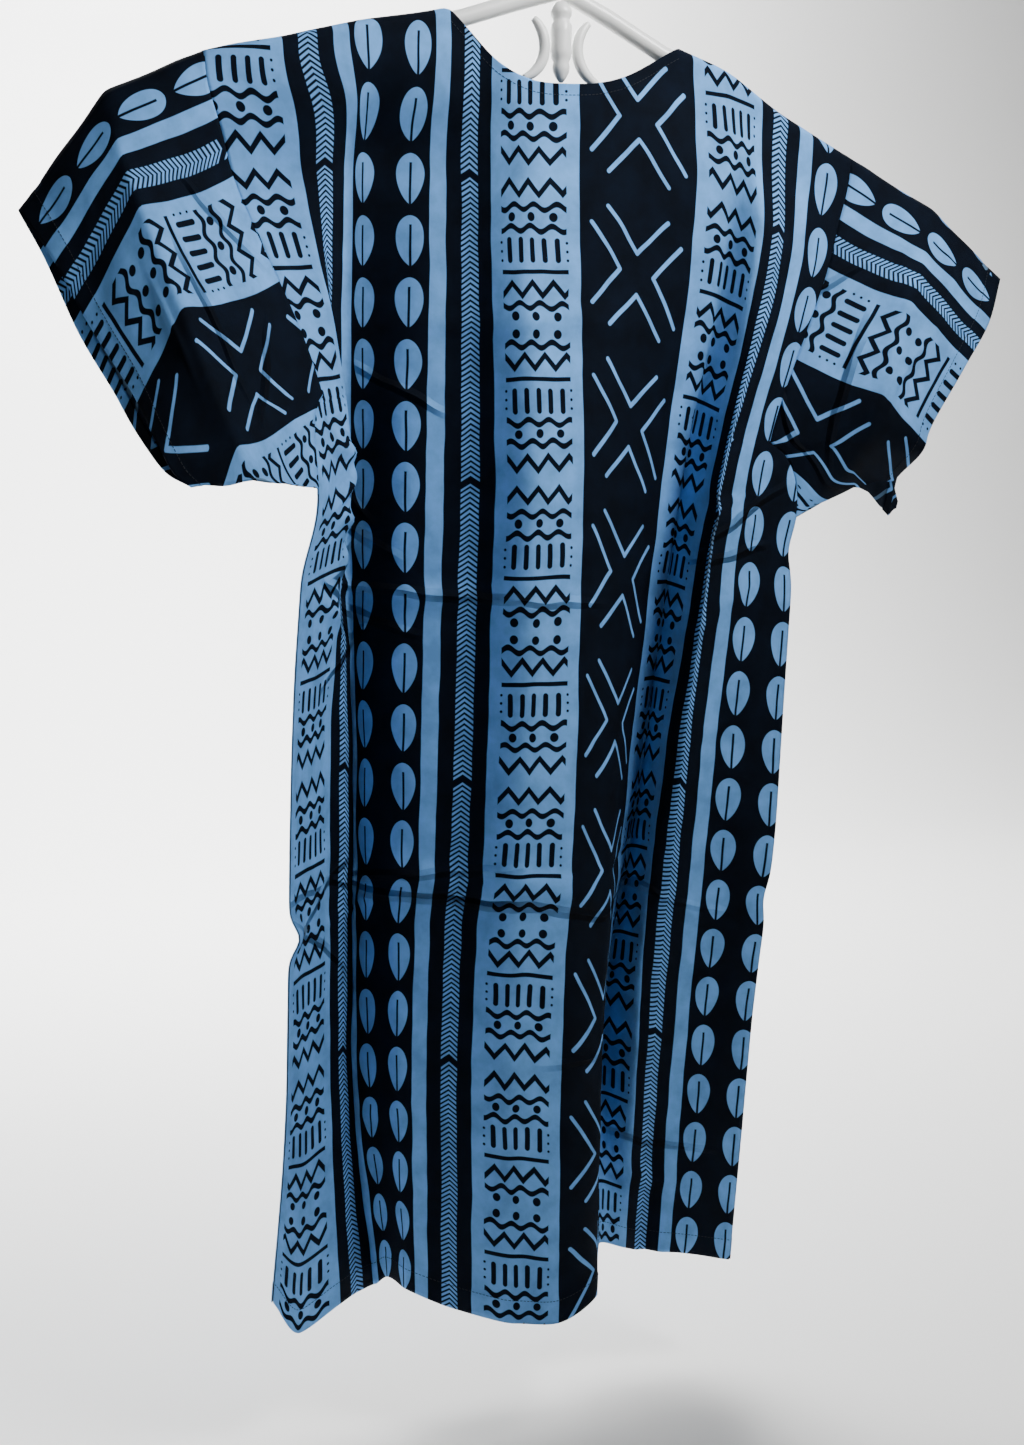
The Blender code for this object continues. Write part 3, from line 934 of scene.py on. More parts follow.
# Finer creases in the mesh. Each crease gives: cut, down (m), angle (degrees),
# half length, rise and half width (m); a sleeve's cut is from its shoulder fold
# and its down from the armhole.
FRONT_CREASES = (
    Crease(0.24, 0.462, 2.0, 0.12, 0.0012, 0.0035),
    Crease(0.60, 0.360, -12.0, 0.05, 0.0022, 0.004),
    Crease(0.30, 0.704, 3.0, 0.34, 0.0014, 0.004),
    Crease(0.13, 0.735, -9.0, 0.10, 0.0013, 0.004),
    Crease(0.50, 0.690, 4.0, 0.10, -0.0012, 0.005),
    Crease(0.57, 1.006, 0.0, 0.07, 0.0012, 0.003),
    Crease(0.30, 0.250, -3.0, 0.17, 0.0008, 0.004),
    Crease(0.40, 0.580, 6.0, 0.12, -0.0009, 0.006),
    Crease(0.10, 0.420, 24.0, 0.09, 0.0018, 0.006),
    Crease(0.09, 0.500, 34.0, 0.10, 0.0014, 0.007),
    Crease(0.61, 0.450, -30.0, 0.09, 0.0016, 0.006),
    Crease(0.62, 0.560, -22.0, 0.08, 0.0012, 0.006),
    Crease(0.22, 0.900, -5.0, 0.16, 0.0010, 0.006),
    Crease(0.072, 0.350, 32.0, 0.050, 0.0055, 0.0062),
    Crease(0.068, 0.378, -18.0, 0.045, 0.0058, 0.0060),
    Crease(0.080, 0.408, 26.0, 0.050, 0.0050, 0.0060),
    Crease(0.086, 0.440, -30.0, 0.052, 0.0048, 0.0066),
    Crease(0.132, 0.462, 14.0, 0.040, 0.0036, 0.0060),
    Crease(0.060, 0.480, 38.0, 0.045, 0.0040, 0.0066),
)
BACK_CREASES = (
    Crease(0.34, 0.360, -2.0, 0.24, 0.0014, 0.004),
    Crease(0.30, 0.700, 2.0, 0.30, 0.0015, 0.004),
    Crease(0.48, 0.905, -5.0, 0.16, 0.0012, 0.005),
    Crease(0.16, 0.560, 12.0, 0.14, 0.0013, 0.006),
    Crease(0.50, 0.500, -14.0, 0.14, 0.0013, 0.006),
    Crease(0.12, 0.400, 28.0, 0.09, 0.0016, 0.006),
    Crease(0.58, 0.410, -26.0, 0.09, 0.0015, 0.006),
)
NEAR_SLEEVE_CREASES = (
    Crease(0.185, 0.110, 8.0, 0.07, 0.0020, 0.004),
    Crease(0.090, 0.050, -60.0, 0.05, 0.0012, 0.005),
    Crease(0.250, 0.060, 40.0, 0.07, 0.0014, 0.006),
    Crease(0.060, 0.150, 70.0, 0.05, 0.0009, 0.006),
)
FAR_SLEEVE_CREASES = (
    Crease(0.150, 0.120, -12.0, 0.08, 0.0022, 0.005),
    Crease(0.080, 0.070, 30.0, 0.06, 0.0016, 0.006),
    Crease(0.230, 0.060, -30.0, 0.07, 0.0016, 0.006),
    Crease(0.040, 0.130, 60.0, 0.05, 0.0010, 0.006),
)

# The finest pressed lines, which are relief in the cotton's finish. They take
# the same values, with places as the print has them.
FRONT_PRESSINGS = (
    Crease(0.25, 0.466, 2.0, 0.15, 0.0016, 0.005),
    Crease(0.19, 0.300, 22.0, 0.05, 0.0014, 0.005),
    Crease(0.30, 0.722, 2.0, 0.36, 0.0020, 0.005),
    Crease(0.20, 0.700, -6.0, 0.12, 0.0014, 0.005),
    Crease(0.58, 0.974, 1.0, 0.08, 0.0016, 0.004),
    Crease(0.12, 0.372, 38.0, 0.07, 0.0022, 0.006),
    Crease(0.13, 0.408, 25.0, 0.08, 0.0020, 0.006),
    Crease(0.10, 0.440, -18.0, 0.06, 0.0024, 0.006),
    Crease(0.09, 0.478, 30.0, 0.06, 0.0022, 0.006),
    Crease(0.11, 0.522, -28.0, 0.07, 0.0018, 0.005),
    Crease(0.16, 0.488, 12.0, 0.06, 0.0016, 0.005),
    Crease(0.61, 0.375, -35.0, 0.07, 0.0020, 0.005),
    Crease(0.60, 0.410, -20.0, 0.06, 0.0018, 0.005),
    Crease(0.41, 0.840, -14.0, 0.08, 0.0012, 0.005),
    Crease(0.06, 0.760, 30.0, 0.07, 0.0018, 0.005),
    Crease(0.07, 0.720, -30.0, 0.06, 0.0018, 0.005),
)
BACK_PRESSINGS = (
    Crease(0.33, 0.470, -2.0, 0.22, 0.0016, 0.005),
    Crease(0.30, 0.718, 2.0, 0.34, 0.0020, 0.005),
    Crease(0.40, 0.965, -2.0, 0.20, 0.0013, 0.004),
    Crease(0.12, 0.400, 34.0, 0.08, 0.0018, 0.006),
    Crease(0.57, 0.420, -30.0, 0.08, 0.0018, 0.006),
    Crease(0.20, 0.560, -20.0, 0.09, 0.0012, 0.005),
    Crease(0.48, 0.600, 16.0, 0.09, 0.0012, 0.005),
)
SLEEVE_PRESSINGS = (
    Crease(0.365, 0.210, 6.0, 0.08, 0.0018, 0.005),
    Crease(0.420, 0.180, 40.0, 0.06, 0.0014, 0.005),
    Crease(0.300, 0.150, -30.0, 0.06, 0.0012, 0.005),
    Crease(-0.05, 0.200, 25.0, 0.08, 0.0015, 0.005),
    Crease(0.02, 0.240, -35.0, 0.08, 0.0013, 0.005),
)


@dataclass
class TunicForm:
    """The hung garment's surface: where each place of the flat cloth lies."""

    length: float = 1.085
    side_near: float = -0.003
    side_far: float = 0.680
    shoulder_level: float = 0.155
    neck_middle: float = 0.350
    neck_half: float = 0.1265
    neck_drop: float = 0.055
    near_neck: float = 0.2233
    far_neck: float = 0.468
    near_slope: float = 0.2136
    far_slope: float = 0.200
    far_neck_low: float = 0.009
    armhole_top: float = 0.045
    armhole_top_inset: float = 0.022
    armhole_inset: float = 0.045
    armhole_scoop: float = 0.305
    armpit: float = 0.365
    armhole_turn: float = 0.77
    top_settle: float = 0.24
    wrap_radius: float = 0.0088
    wrap_fade: float = 0.09
    cloth: float = 0.0007
    back_step: float = 0.0009
    back_fade: float = 0.35
    back_press: float = 0.4
    press_drift: float = 0.03
    nick_reach: float = 0.045
    grid_cut: np.ndarray = field(default_factory=lambda: np.arange(-0.030, 0.712, CUT_STEP))
    grid_down: np.ndarray = field(default_factory=lambda: np.arange(-0.004, 1.112, DOWN_STEP))

    def __post_init__(self) -> None:
        """Works out both halves once on a fine grid of the flat cloth."""
        lines = np.array([row[2:] for row in FOLD_LINES], float) / 1000.0
        cuts = [row[1] / 1000.0 for row in FOLD_LINES]
        at_down = np.stack([through(LEVELS, line.T, self.grid_down) for line in lines])
        shape = (len(self.grid_cut), len(self.grid_down), 3)
        front = through(cuts, at_down.reshape(len(lines), -1), self.grid_cut).reshape(shape)
        self.front_grid = front
        backs = [row[1] / 1000.0 for row in BACK_LINES]
        share = through(backs, np.array([row[2] for row in BACK_LINES]), self.grid_cut)
        swell = through(backs, np.array([row[3] for row in BACK_LINES]), self.grid_cut)
        depth = through(LEVELS, np.array(BACK_DEPTHS) / 1000.0, self.grid_down)[:, 0]
        near, far = at_down[0].copy(), at_down[-1].copy()
        near[:, 0] -= self.back_step
        far[:, 0] += self.back_step
        back = np.zeros(shape)
        back[:, :, 0] = mix(near[:, 0], far[:, 0], share)
        back[:, :, 1] = mix(near[:, 1], far[:, 1], share) + swell * depth
        level = mix(near[:, 2], far[:, 2], share)
        back[:, :, 2] = mix(front[:, :, 2], level, smooth(self.grid_down / self.back_fade))
        self.back_grid = back

    def look_up(self, grid: np.ndarray, cut: np.ndarray, down: np.ndarray) -> np.ndarray:
        """Reads a grid between its points.

        Args:
            grid: values by cut and down.
            cut: places across.
            down: places down.
        Returns:
            The values, with 3 columns last.
        """
        i = (cut - self.grid_cut[0]) / CUT_STEP
        j = (down - self.grid_down[0]) / DOWN_STEP
        low_i = np.clip(i.astype(int), 0, len(self.grid_cut) - 2)
        low_j = np.clip(j.astype(int), 0, len(self.grid_down) - 2)
        a, b = (i - low_i)[..., None], (j - low_j)[..., None]
        first = mix(grid[low_i, low_j], grid[low_i + 1, low_j], a)
        second = mix(grid[low_i, low_j + 1], grid[low_i + 1, low_j + 1], a)
        return mix(first, second, b)

    def nick(self, cut: np.ndarray, down: np.ndarray) -> np.ndarray:
        """How far a side seam is drawn in, as a step along X.

        Args:
            cut: places across.
            down: places down.
        Returns:
            The step, metres.
        """
        total = np.zeros_like(cut + down)
        for _, side, height, reach, half in NICKS:
            away = cut - self.side_near if side < 0 else self.side_far - cut
            level = np.exp(-(((down - height) / half) ** 2))
            total -= side * reach * (1.0 - smooth(away / self.nick_reach)) * level
        return total

    def pressed(self, cut: np.ndarray, down: np.ndarray) -> np.ndarray:
        """The large packing creases.

        Args:
            cut: places across.
            down: places down.
        Returns:
            The lift towards the front, metres.
        """
        total = np.zeros_like(cut + down)
        for _, height, slope, middle, half, rise, width in CREASES:
            fade = 1.0 - smooth(np.abs(cut - middle) / half)
            away = down - height - slope * (cut - middle)
            total += rise * fade * np.exp(-((away / width) ** 2))
        return total

    def top_edge(self, cut: np.ndarray) -> np.ndarray:
        """How far down the neckline or the shoulder seam lies.

        Args:
            cut: places across.
        Returns:
            The distance, metres.
        """
        share = (cut - self.neck_middle) / self.neck_half
        scoop = np.maximum(0.0, self.neck_drop * (1.0 - share * share))
        near = (self.near_neck - cut) * self.near_slope
        far = self.far_neck_low + (cut - self.far_neck) * self.far_slope
        return np.where(cut < self.near_neck, near, np.where(cut > self.far_neck, far, scoop))

    def down_at(self, cut: np.ndarray, share: np.ndarray) -> np.ndarray:
        """How far down a row lies: along the top edge at first, then level.

        Args:
            cut: places across.
            share: the row's place from top to hem.
        Returns:
            The distance, metres.
        """
        level = mix(self.armhole_top, self.length, share)
        rise = self.top_edge(cut) - self.armhole_top
        return level + rise * (1.0 - smooth(share / self.top_settle))

    def inset(self, down: np.ndarray) -> np.ndarray:
        """How far in from the side seam line the panel is cut.

        Args:
            down: heights down the cloth.
        Returns:
            The inset, metres.
        """
        turn = np.clip((self.armpit - down) / (self.armpit - self.armhole_scoop), 0.0, 1.0)
        low = self.armhole_inset * (1.0 - np.sqrt(1.0 - turn * turn))
        share = (down - self.armhole_top) / (self.armhole_scoop - self.armhole_top)
        high = mix(self.armhole_top_inset, self.armhole_inset, smooth(share))
        return np.where(down >= self.armhole_scoop, low, high)

    def arm_line(self, cut: np.ndarray) -> np.ndarray:
        """How far down the cloth the hanger's arm lies, carried on inside the neck.

        Args:
            cut: places across.
        Returns:
            The distance, metres.
        """
        near = (self.near_neck - cut) * self.near_slope
        far = self.far_neck_low + (cut - self.far_neck) * self.far_slope
        return np.where(cut < self.neck_middle, near, far)

    def hung(self, cut: np.ndarray, down: np.ndarray) -> np.ndarray:
        """The front by its fold lines and packing creases.

        Args:
            cut: places across.
            down: places down.
        Returns:
            Points.
        """
        point = self.look_up(self.front_grid, cut, down)
        point[..., 0] += self.nick(cut, down)
        point[..., 1] -= self.pressed(cut, down)
        point[..., 2] -= self.shoulder_level + down
        return point

    def at(self, half: Half, cut: np.ndarray, down: np.ndarray) -> np.ndarray:
        """The surface of one half, laid round the hanger's arm near its top.

        Args:
            half: front or back.
            cut: places across.
            down: places down.
        Returns:
            Points.
        """
        cut, down = np.broadcast_arrays(np.asarray(cut, float), np.asarray(down, float))
        if half is Half.FRONT:
            place = self.hung(cut, down)
        else:
            place = self.look_up(self.back_grid, cut, down)
            share = np.clip((cut - self.side_near) / (self.side_far - self.side_near), 0.0, 1.0)
            near = self.nick(np.full_like(cut, self.side_near), down)
            far = self.nick(np.full_like(cut, self.side_far), down)
            place[..., 0] += mix(near, far, smooth(share))
            place[..., 1] += self.back_press * self.pressed(cut, down + self.press_drift)
            place[..., 2] -= self.shoulder_level + down
        below = np.maximum(0.0, down - self.arm_line(cut))
        inside = np.minimum(cut - self.near_neck, self.far_neck - cut)
        hold = 1.0 - smooth((inside - 0.015) / 0.05)
        fade = ((1.0 - smooth((below - 0.02) / self.wrap_fade)) * hold)[..., None]
        crown = self.hung(cut, self.arm_line(cut))
        turn = np.minimum(below / self.wrap_radius, math.pi / 2.0)
        depth = self.wrap_radius * np.sin(turn) + self.cloth / 2.0 + 0.0001
        straight = np.maximum(0.0, below - self.wrap_radius * math.pi / 2.0)
        fall = straight + self.wrap_radius * (1.0 - np.cos(turn))
        laid = np.empty(place.shape)
        laid[..., 0] = mix(crown[..., 0], place[..., 0], smooth((below - 0.01) / 0.06))
        laid[..., 1] = half.value * depth
        laid[..., 2] = crown[..., 2] - fall
        return mix(place, laid, fade)


def link_mesh(name: str, mesh: bmesh.types.BMesh, finish: bpy.types.Material) -> bpy.types.Object:
    """Turns a mesh into a smooth object that rides on the body.

    Args:
        name: the piece's name.
        mesh: its mesh, freed here.
        finish: its material.
    Returns:
        The object.
    """
    data = bpy.data.meshes.new(name)
    mesh.to_mesh(data)
    mesh.free()
    data.polygons.foreach_set("use_smooth", np.ones(len(data.polygons), bool))
    item = bpy.data.objects.new(name, data)
    data.materials.append(finish)
    bpy.context.scene.collection.objects.link(item)
    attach(item, BODY)
    LOG.info("%s: %d faces", name, len(data.polygons))
    return item


def cloth_object(
    name: str,
    points: np.ndarray,
    flat: np.ndarray,
    thickness: float,
    finishes: tuple[bpy.types.Material, bpy.types.Material],
    outward: np.ndarray | None = None,
    closed: bool = False,
) -> bpy.types.Object:
    """A sheet of cloth with the print's flat places in its UV map.

    Args:
        name: the piece's name.
        points: rows of points of the sheet's middle.
        flat: the flat place of each point, across and down. A closed sheet has one
            more column, so that the print meets itself only at its seam.
        thickness: the cloth's thickness.
        finishes: the material that faces outward and the one on the other side.
        outward: which way is outward at each point; None leaves the faces as they are.
        closed: whether each row joins up with its own start.
    Returns:
        The object.
    """
    rows, columns = points.shape[:2]
    data = bpy.data.meshes.new(name)
    last = columns if closed else columns - 1
    i, j = np.meshgrid(np.arange(rows - 1), np.arange(last), indexing="ij")
    k = (j + 1) % columns
    here, below = i * columns, (i + 1) * columns
    corners = np.stack([here + j, here + k, below + k, below + j], axis=-1)
    flipped = outward is not None
    if flipped:
        flipped = float((surface_normals(points, closed) * outward).sum()) > 0.0
    if flipped:
        corners = corners[..., ::-1]
    data.from_pydata(points.reshape(-1, 3).tolist(), [], corners.reshape(-1, 4).tolist())
    layer = data.uv_layers.new(name="flat")
    spots = np.stack([flat[i, j], flat[i, j + 1], flat[i + 1, j + 1], flat[i + 1, j]], axis=-2)
    spots = (spots[..., ::-1, :] if flipped else spots) * np.array([1.0, -1.0])
    layer.data.foreach_set("uv", spots.reshape(-1).astype(np.float32))
    data.polygons.foreach_set("use_smooth", np.ones(len(data.polygons), bool))
    item = bpy.data.objects.new(name, data)
    for finish in finishes:
        data.materials.append(finish)
    bpy.context.scene.collection.objects.link(item)
    wall = item.modifiers.new("thickness", "SOLIDIFY")
    wall.thickness = thickness
    wall.offset = 0.0
    wall.use_even_offset = False
    # The second finish goes on the wrong side of the cloth
    wall.material_offset = 1
    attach(item, BODY)
    LOG.info("%s: %d by %d points", name, rows, columns)
    return item


def along_path(run: np.ndarray, values: np.ndarray, spot: float) -> np.ndarray:
    """Reads a row of vectors at a distance along it.

    Args:
        run: the distance of each row.
        values: rows of 3 values.
        spot: the distance asked for.
    Returns:
        The 3 values there.
    """
    return np.array([np.interp(spot, run, values[:, c]) for c in range(3)])


def join_rings(mesh: bmesh.types.BMesh, rings: Sequence[Sequence[bmesh.types.BMVert]]) -> None:
    """Joins rings of points into a tube and closes both its ends.

    Args:
        mesh: the mesh that gets the faces.
        rings: rings of the same number of points, in order.
    """
    sides = len(rings[0])
    for first, second in zip(rings, rings[1:]):
        for turn in range(sides):
            after = (turn + 1) % sides
            mesh.faces.new((first[turn], first[after], second[after], second[turn]))
    mesh.faces.new(rings[0][::-1])
    mesh.faces.new(rings[-1])


def thread_mesh(
    mesh: bmesh.types.BMesh,
    path: np.ndarray,
    normals: np.ndarray,
    stitch: float = STITCH,
    gap: float = STITCH_GAP,
    radius: float = THREAD_RADIUS,
) -> None:
    """Lays a row of stitches along a path, each one a small rounded bar.

    Args:
        mesh: the mesh that gets them.
        path: points along the row.
        normals: which way is out of the cloth at each point.
        stitch: a stitch's length.
        gap: the cloth between two stitches.
        radius: the thread's radius.
    """
    steps = np.linalg.norm(np.diff(path, axis=0), axis=1)
    run = np.concatenate([[0.0], np.cumsum(steps)])
    count = int(run[-1] / (stitch + gap))
    for n in range(count):
        rings = []
        for share, size, rise in STITCH_RINGS:
            spot = (n + 0.1) * (stitch + gap) + stitch * share
            place = along_path(run, path, spot)
            out = along_path(run, normals, spot)
            ahead = along_path(run, path, spot + 0.0005) - place
            across = np.cross(out, ahead)
            across /= max(1e-9, np.linalg.norm(across))
            ring = []
            for turn in range(5):
                angle = math.tau * turn / 5.0
                way = across * math.cos(angle) + out * math.sin(angle)
                ring.append(mesh.verts.new(place + out * (radius * rise) + radius * size * way))
            rings.append(ring)
        join_rings(mesh, rings)


def tube(
    name: str,
    points: Sequence[Sequence[float]],
    radii: Sequence[float],
    finish: bpy.types.Material,
    sides: int = 20,
) -> bpy.types.Object:
    """A smooth closed tube along points in the hanger's plane.

    Args:
        name: the piece's name.
        points: the centreline.
        radii: the radius at each point.
        finish: its material.
        sides: how many faces round it.
    Returns:
        The object.
    """
    path = np.asarray(points, float)
    ahead = np.gradient(path, axis=0)
    ahead /= np.maximum(np.linalg.norm(ahead, axis=1, keepdims=True), 1e-12)
    mesh = bmesh.new()
    rings = []
    side = np.array([0.0, 1.0, 0.0])
    for place, way, radius in zip(path, ahead, radii):
        up = np.cross(way, side)
        up /= max(1e-9, np.linalg.norm(up))
        ring = []
        for turn in range(sides):
            angle = math.tau * turn / sides
            way_out = side * math.cos(angle) + up * math.sin(angle)
            ring.append(mesh.verts.new(place + radius * way_out))
        rings.append(ring)
    join_rings(mesh, rings)
    bmesh.ops.recalc_face_normals(mesh, faces=mesh.faces)
    return link_mesh(name, mesh, finish)


@dataclass
class Panel:
    """The front or the back: a dense sheet with its hem and neck stitching."""

    half: Half
    name: str
    node: str
    columns: int
    rows: int
    creases: tuple[Crease, ...]
    flat_size: tuple[float, float] = (0.683, 1.085)
    area: float = 0.690
    hem: float = 0.024
    hem_stand: float = 0.0005
    neck_fold: float = 0.009
    arm_band: float = 0.020
    arm_rows: int = 13
    calm_edge: float = 0.03
    near_shift: float = 0.0045

    def shares(self, form: TunicForm) -> tuple[np.ndarray, np.ndarray]:
        """Places of the columns and rows, closer together over the hanger's arm.

        Args:
            form: the garment's surface.
        Returns:
            Column places and row places, from 0 to 1.
        """
        edge = form.side_near + form.armhole_top_inset
        width = form.side_far - form.armhole_top_inset - edge
        corners = np.array([(form.near_neck - edge) / width, (form.far_neck - edge) / width])
        across = np.linspace(0.0, 1.0, self.columns)
        for corner in corners:
            across[np.argmin(np.abs(across - corner))] = corner
        fall = form.length - form.armhole_top
        top = np.linspace(0.0, self.arm_band, self.arm_rows + 1)[:-1] / fall
        rest = np.linspace(self.arm_band / fall, 1.0, self.rows - self.arm_rows)
        return across, np.concatenate([top, rest])

    def face_out(self, normals: np.ndarray) -> np.ndarray:
        """Turns normals out of the garment.

        Args:
            normals: unit normals, all on the same side of the cloth.
        Returns:
            The same normals, or their opposites.
        """
        rows, columns = normals.shape[:2]
        inward = normals[rows // 2, columns // 2, 1] * self.half.value < 0.0
        return -normals if inward else normals

    def unevenness(self, cut: np.ndarray, down: np.ndarray, edge: np.ndarray) -> np.ndarray:
        """The ripple and the fine creases, calmer along the side seams.

        Args:
            cut: places across.
            down: places down.
            edge: distance from the nearer side edge.
        Returns:
            The lift, metres.
        """
        lift = self.ripple(cut, down)
        for crease in self.creases:
            lift = lift + crease.lift(cut, down)
        return lift * (0.15 + 0.85 * smooth(edge / self.calm_edge))

    def ripple(self, cut: np.ndarray, down: np.ndarray) -> np.ndarray:
        """Small soft unevenness of the hanging cloth, waves that don't repeat together.

        Args:
            cut: places across.
            down: places down.
        Returns:
            The lift, metres.
        """
        turn = 0.0 if self.half is Half.FRONT else 2.1
        wave = 0.9 * np.sin(cut * 61.0 + 1.7 * np.sin(down * 5.3 + turn) + turn)
        wave += 0.6 * np.sin(cut * 104.0 - 2.1 * np.sin(down * 8.1) + 0.8 + turn)
        wave += 0.45 * np.sin(down * 47.0 + 2.6 * np.sin(cut * 17.0) + turn)
        wave += 0.35 * np.sin(down * 83.0 + cut * 59.0 + 1.9)
        return 0.00075 * wave

    def grid(self, form: TunicForm) -> tuple[np.ndarray, np.ndarray, np.ndarray]:
        """The panel's points, flat places and normals.

        Args:
            form: the garment's surface.
        Returns:
            Points, flat places, and normals that face out of the garment.
        """
        across, shares = self.shares(form)
        level = mix(form.armhole_top, form.length, shares)
        inset = form.inset(level)[:, None]
        cut = mix(form.side_near + inset, form.side_far - inset, across[None, :])
        down = form.down_at(cut, shares[:, None])
        points = form.at(self.half, cut, down)
        normals = self.face_out(surface_normals(points))
        free = smooth((down - form.top_edge(cut) - 0.012) / 0.05)
        edge = np.minimum(cut - form.side_near - inset, form.side_far - inset - cut)
        stand = self.hem_stand * smooth((down - (form.length - self.hem)) / 0.0015)
        lift = self.unevenness(cut, down, edge) * free + stand
        points = points + normals * lift[..., None]
        # The near side was cut a little out of true, so its print runs off sooner
        off_true = self.near_shift * (1.0 - smooth(cut / 0.04))
        return points, np.stack([cut + off_true, down], axis=-1), normals

    def build(self, form: TunicForm, wardrobe: "Wardrobe") -> bpy.types.Object:
        """Makes the panel and dresses it.

        Args:
            form: the garment's surface.
            wardrobe: the materials.
        Returns:
            The panel's object.
        """
        points, flat, normals = self.grid(form)
        pair = wardrobe.panel_pairs[self.half]
        cloth = cloth_object(self.name, points, flat, form.cloth, pair, normals)
        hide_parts(self.node)
        extras = [
            self.dress_hem(form, wardrobe),
            self.dress_stitches(points, flat, normals, form, wardrobe),
        ]
        return cloth

    def dress_hem(self, form: TunicForm, wardrobe: "Wardrobe") -> bpy.types.Object:
        """The turned-up hem allowance on the inside.

        Args:
            form: the garment's surface.
            wardrobe: the materials.
        Returns:
            The turn-up's object.
        """
        cut = np.linspace(form.side_near + 0.002, form.side_far - 0.002, self.columns)[None, :]
        down = np.linspace(form.length - self.hem, form.length - 0.0004, 8)[:, None]
        cut, down = np.broadcast_arrays(cut, down)
        points = form.at(self.half, cut, down)
        normals = self.face_out(surface_normals(points))
        fold = smooth((form.length - down) / 0.002)
        inward = (form.cloth + 0.0004) * fold - 0.0004
        edge = np.minimum(cut - form.side_near, form.side_far - cut)
        lift = self.unevenness(cut, down, edge)
        points = points + normals * (lift - inward)[..., None]
        flat = np.stack([cut, 2.0 * form.length - down], axis=-1)
        pair = wardrobe.panel_pairs[self.half][::-1]
        item = cloth_object(self.name + "_hem", points, flat, 0.0005, pair, normals)
        return item

    def dress_stitches(
        self,
        points: np.ndarray,
        flat: np.ndarray,
        normals: np.ndarray,
        form: TunicForm,
        wardrobe: "Wardrobe",
    ) -> bpy.types.Object:
        """Rows of stitching above the hem and round the neck.

        Args:
            points: the panel's points.
            flat: their flat places.
            normals: their normals.
            form: the garment's surface.
            wardrobe: the materials.
        Returns:
            The thread's object.
        """
        mesh = bmesh.new()
        surface = points + normals * (form.cloth / 2.0)
        row = int(np.argmin(np.abs(flat[:, 0, 1] - (form.length - self.hem + 0.0015))))
        thread_mesh(mesh, surface[row], normals[row])
        depth = flat[:, :, 1] - flat[0:1, :, 1]
        spots, outs = [], []
        for j in range(flat.shape[1]):
            if not form.near_neck + 0.004 < flat[0, j, 0] < form.far_neck - 0.004:
                continue
            i = float(np.interp(self.neck_fold, depth[:, j], np.arange(depth.shape[0])))
            low = int(i)
            spots.append(mix(surface[low, j], surface[low + 1, j], i - low))
            outs.append(normals[low, j])
        thread_mesh(mesh, np.array(spots), np.array(outs))
        item = link_mesh(self.name + "_stitches", mesh, wardrobe.thread)
        return item


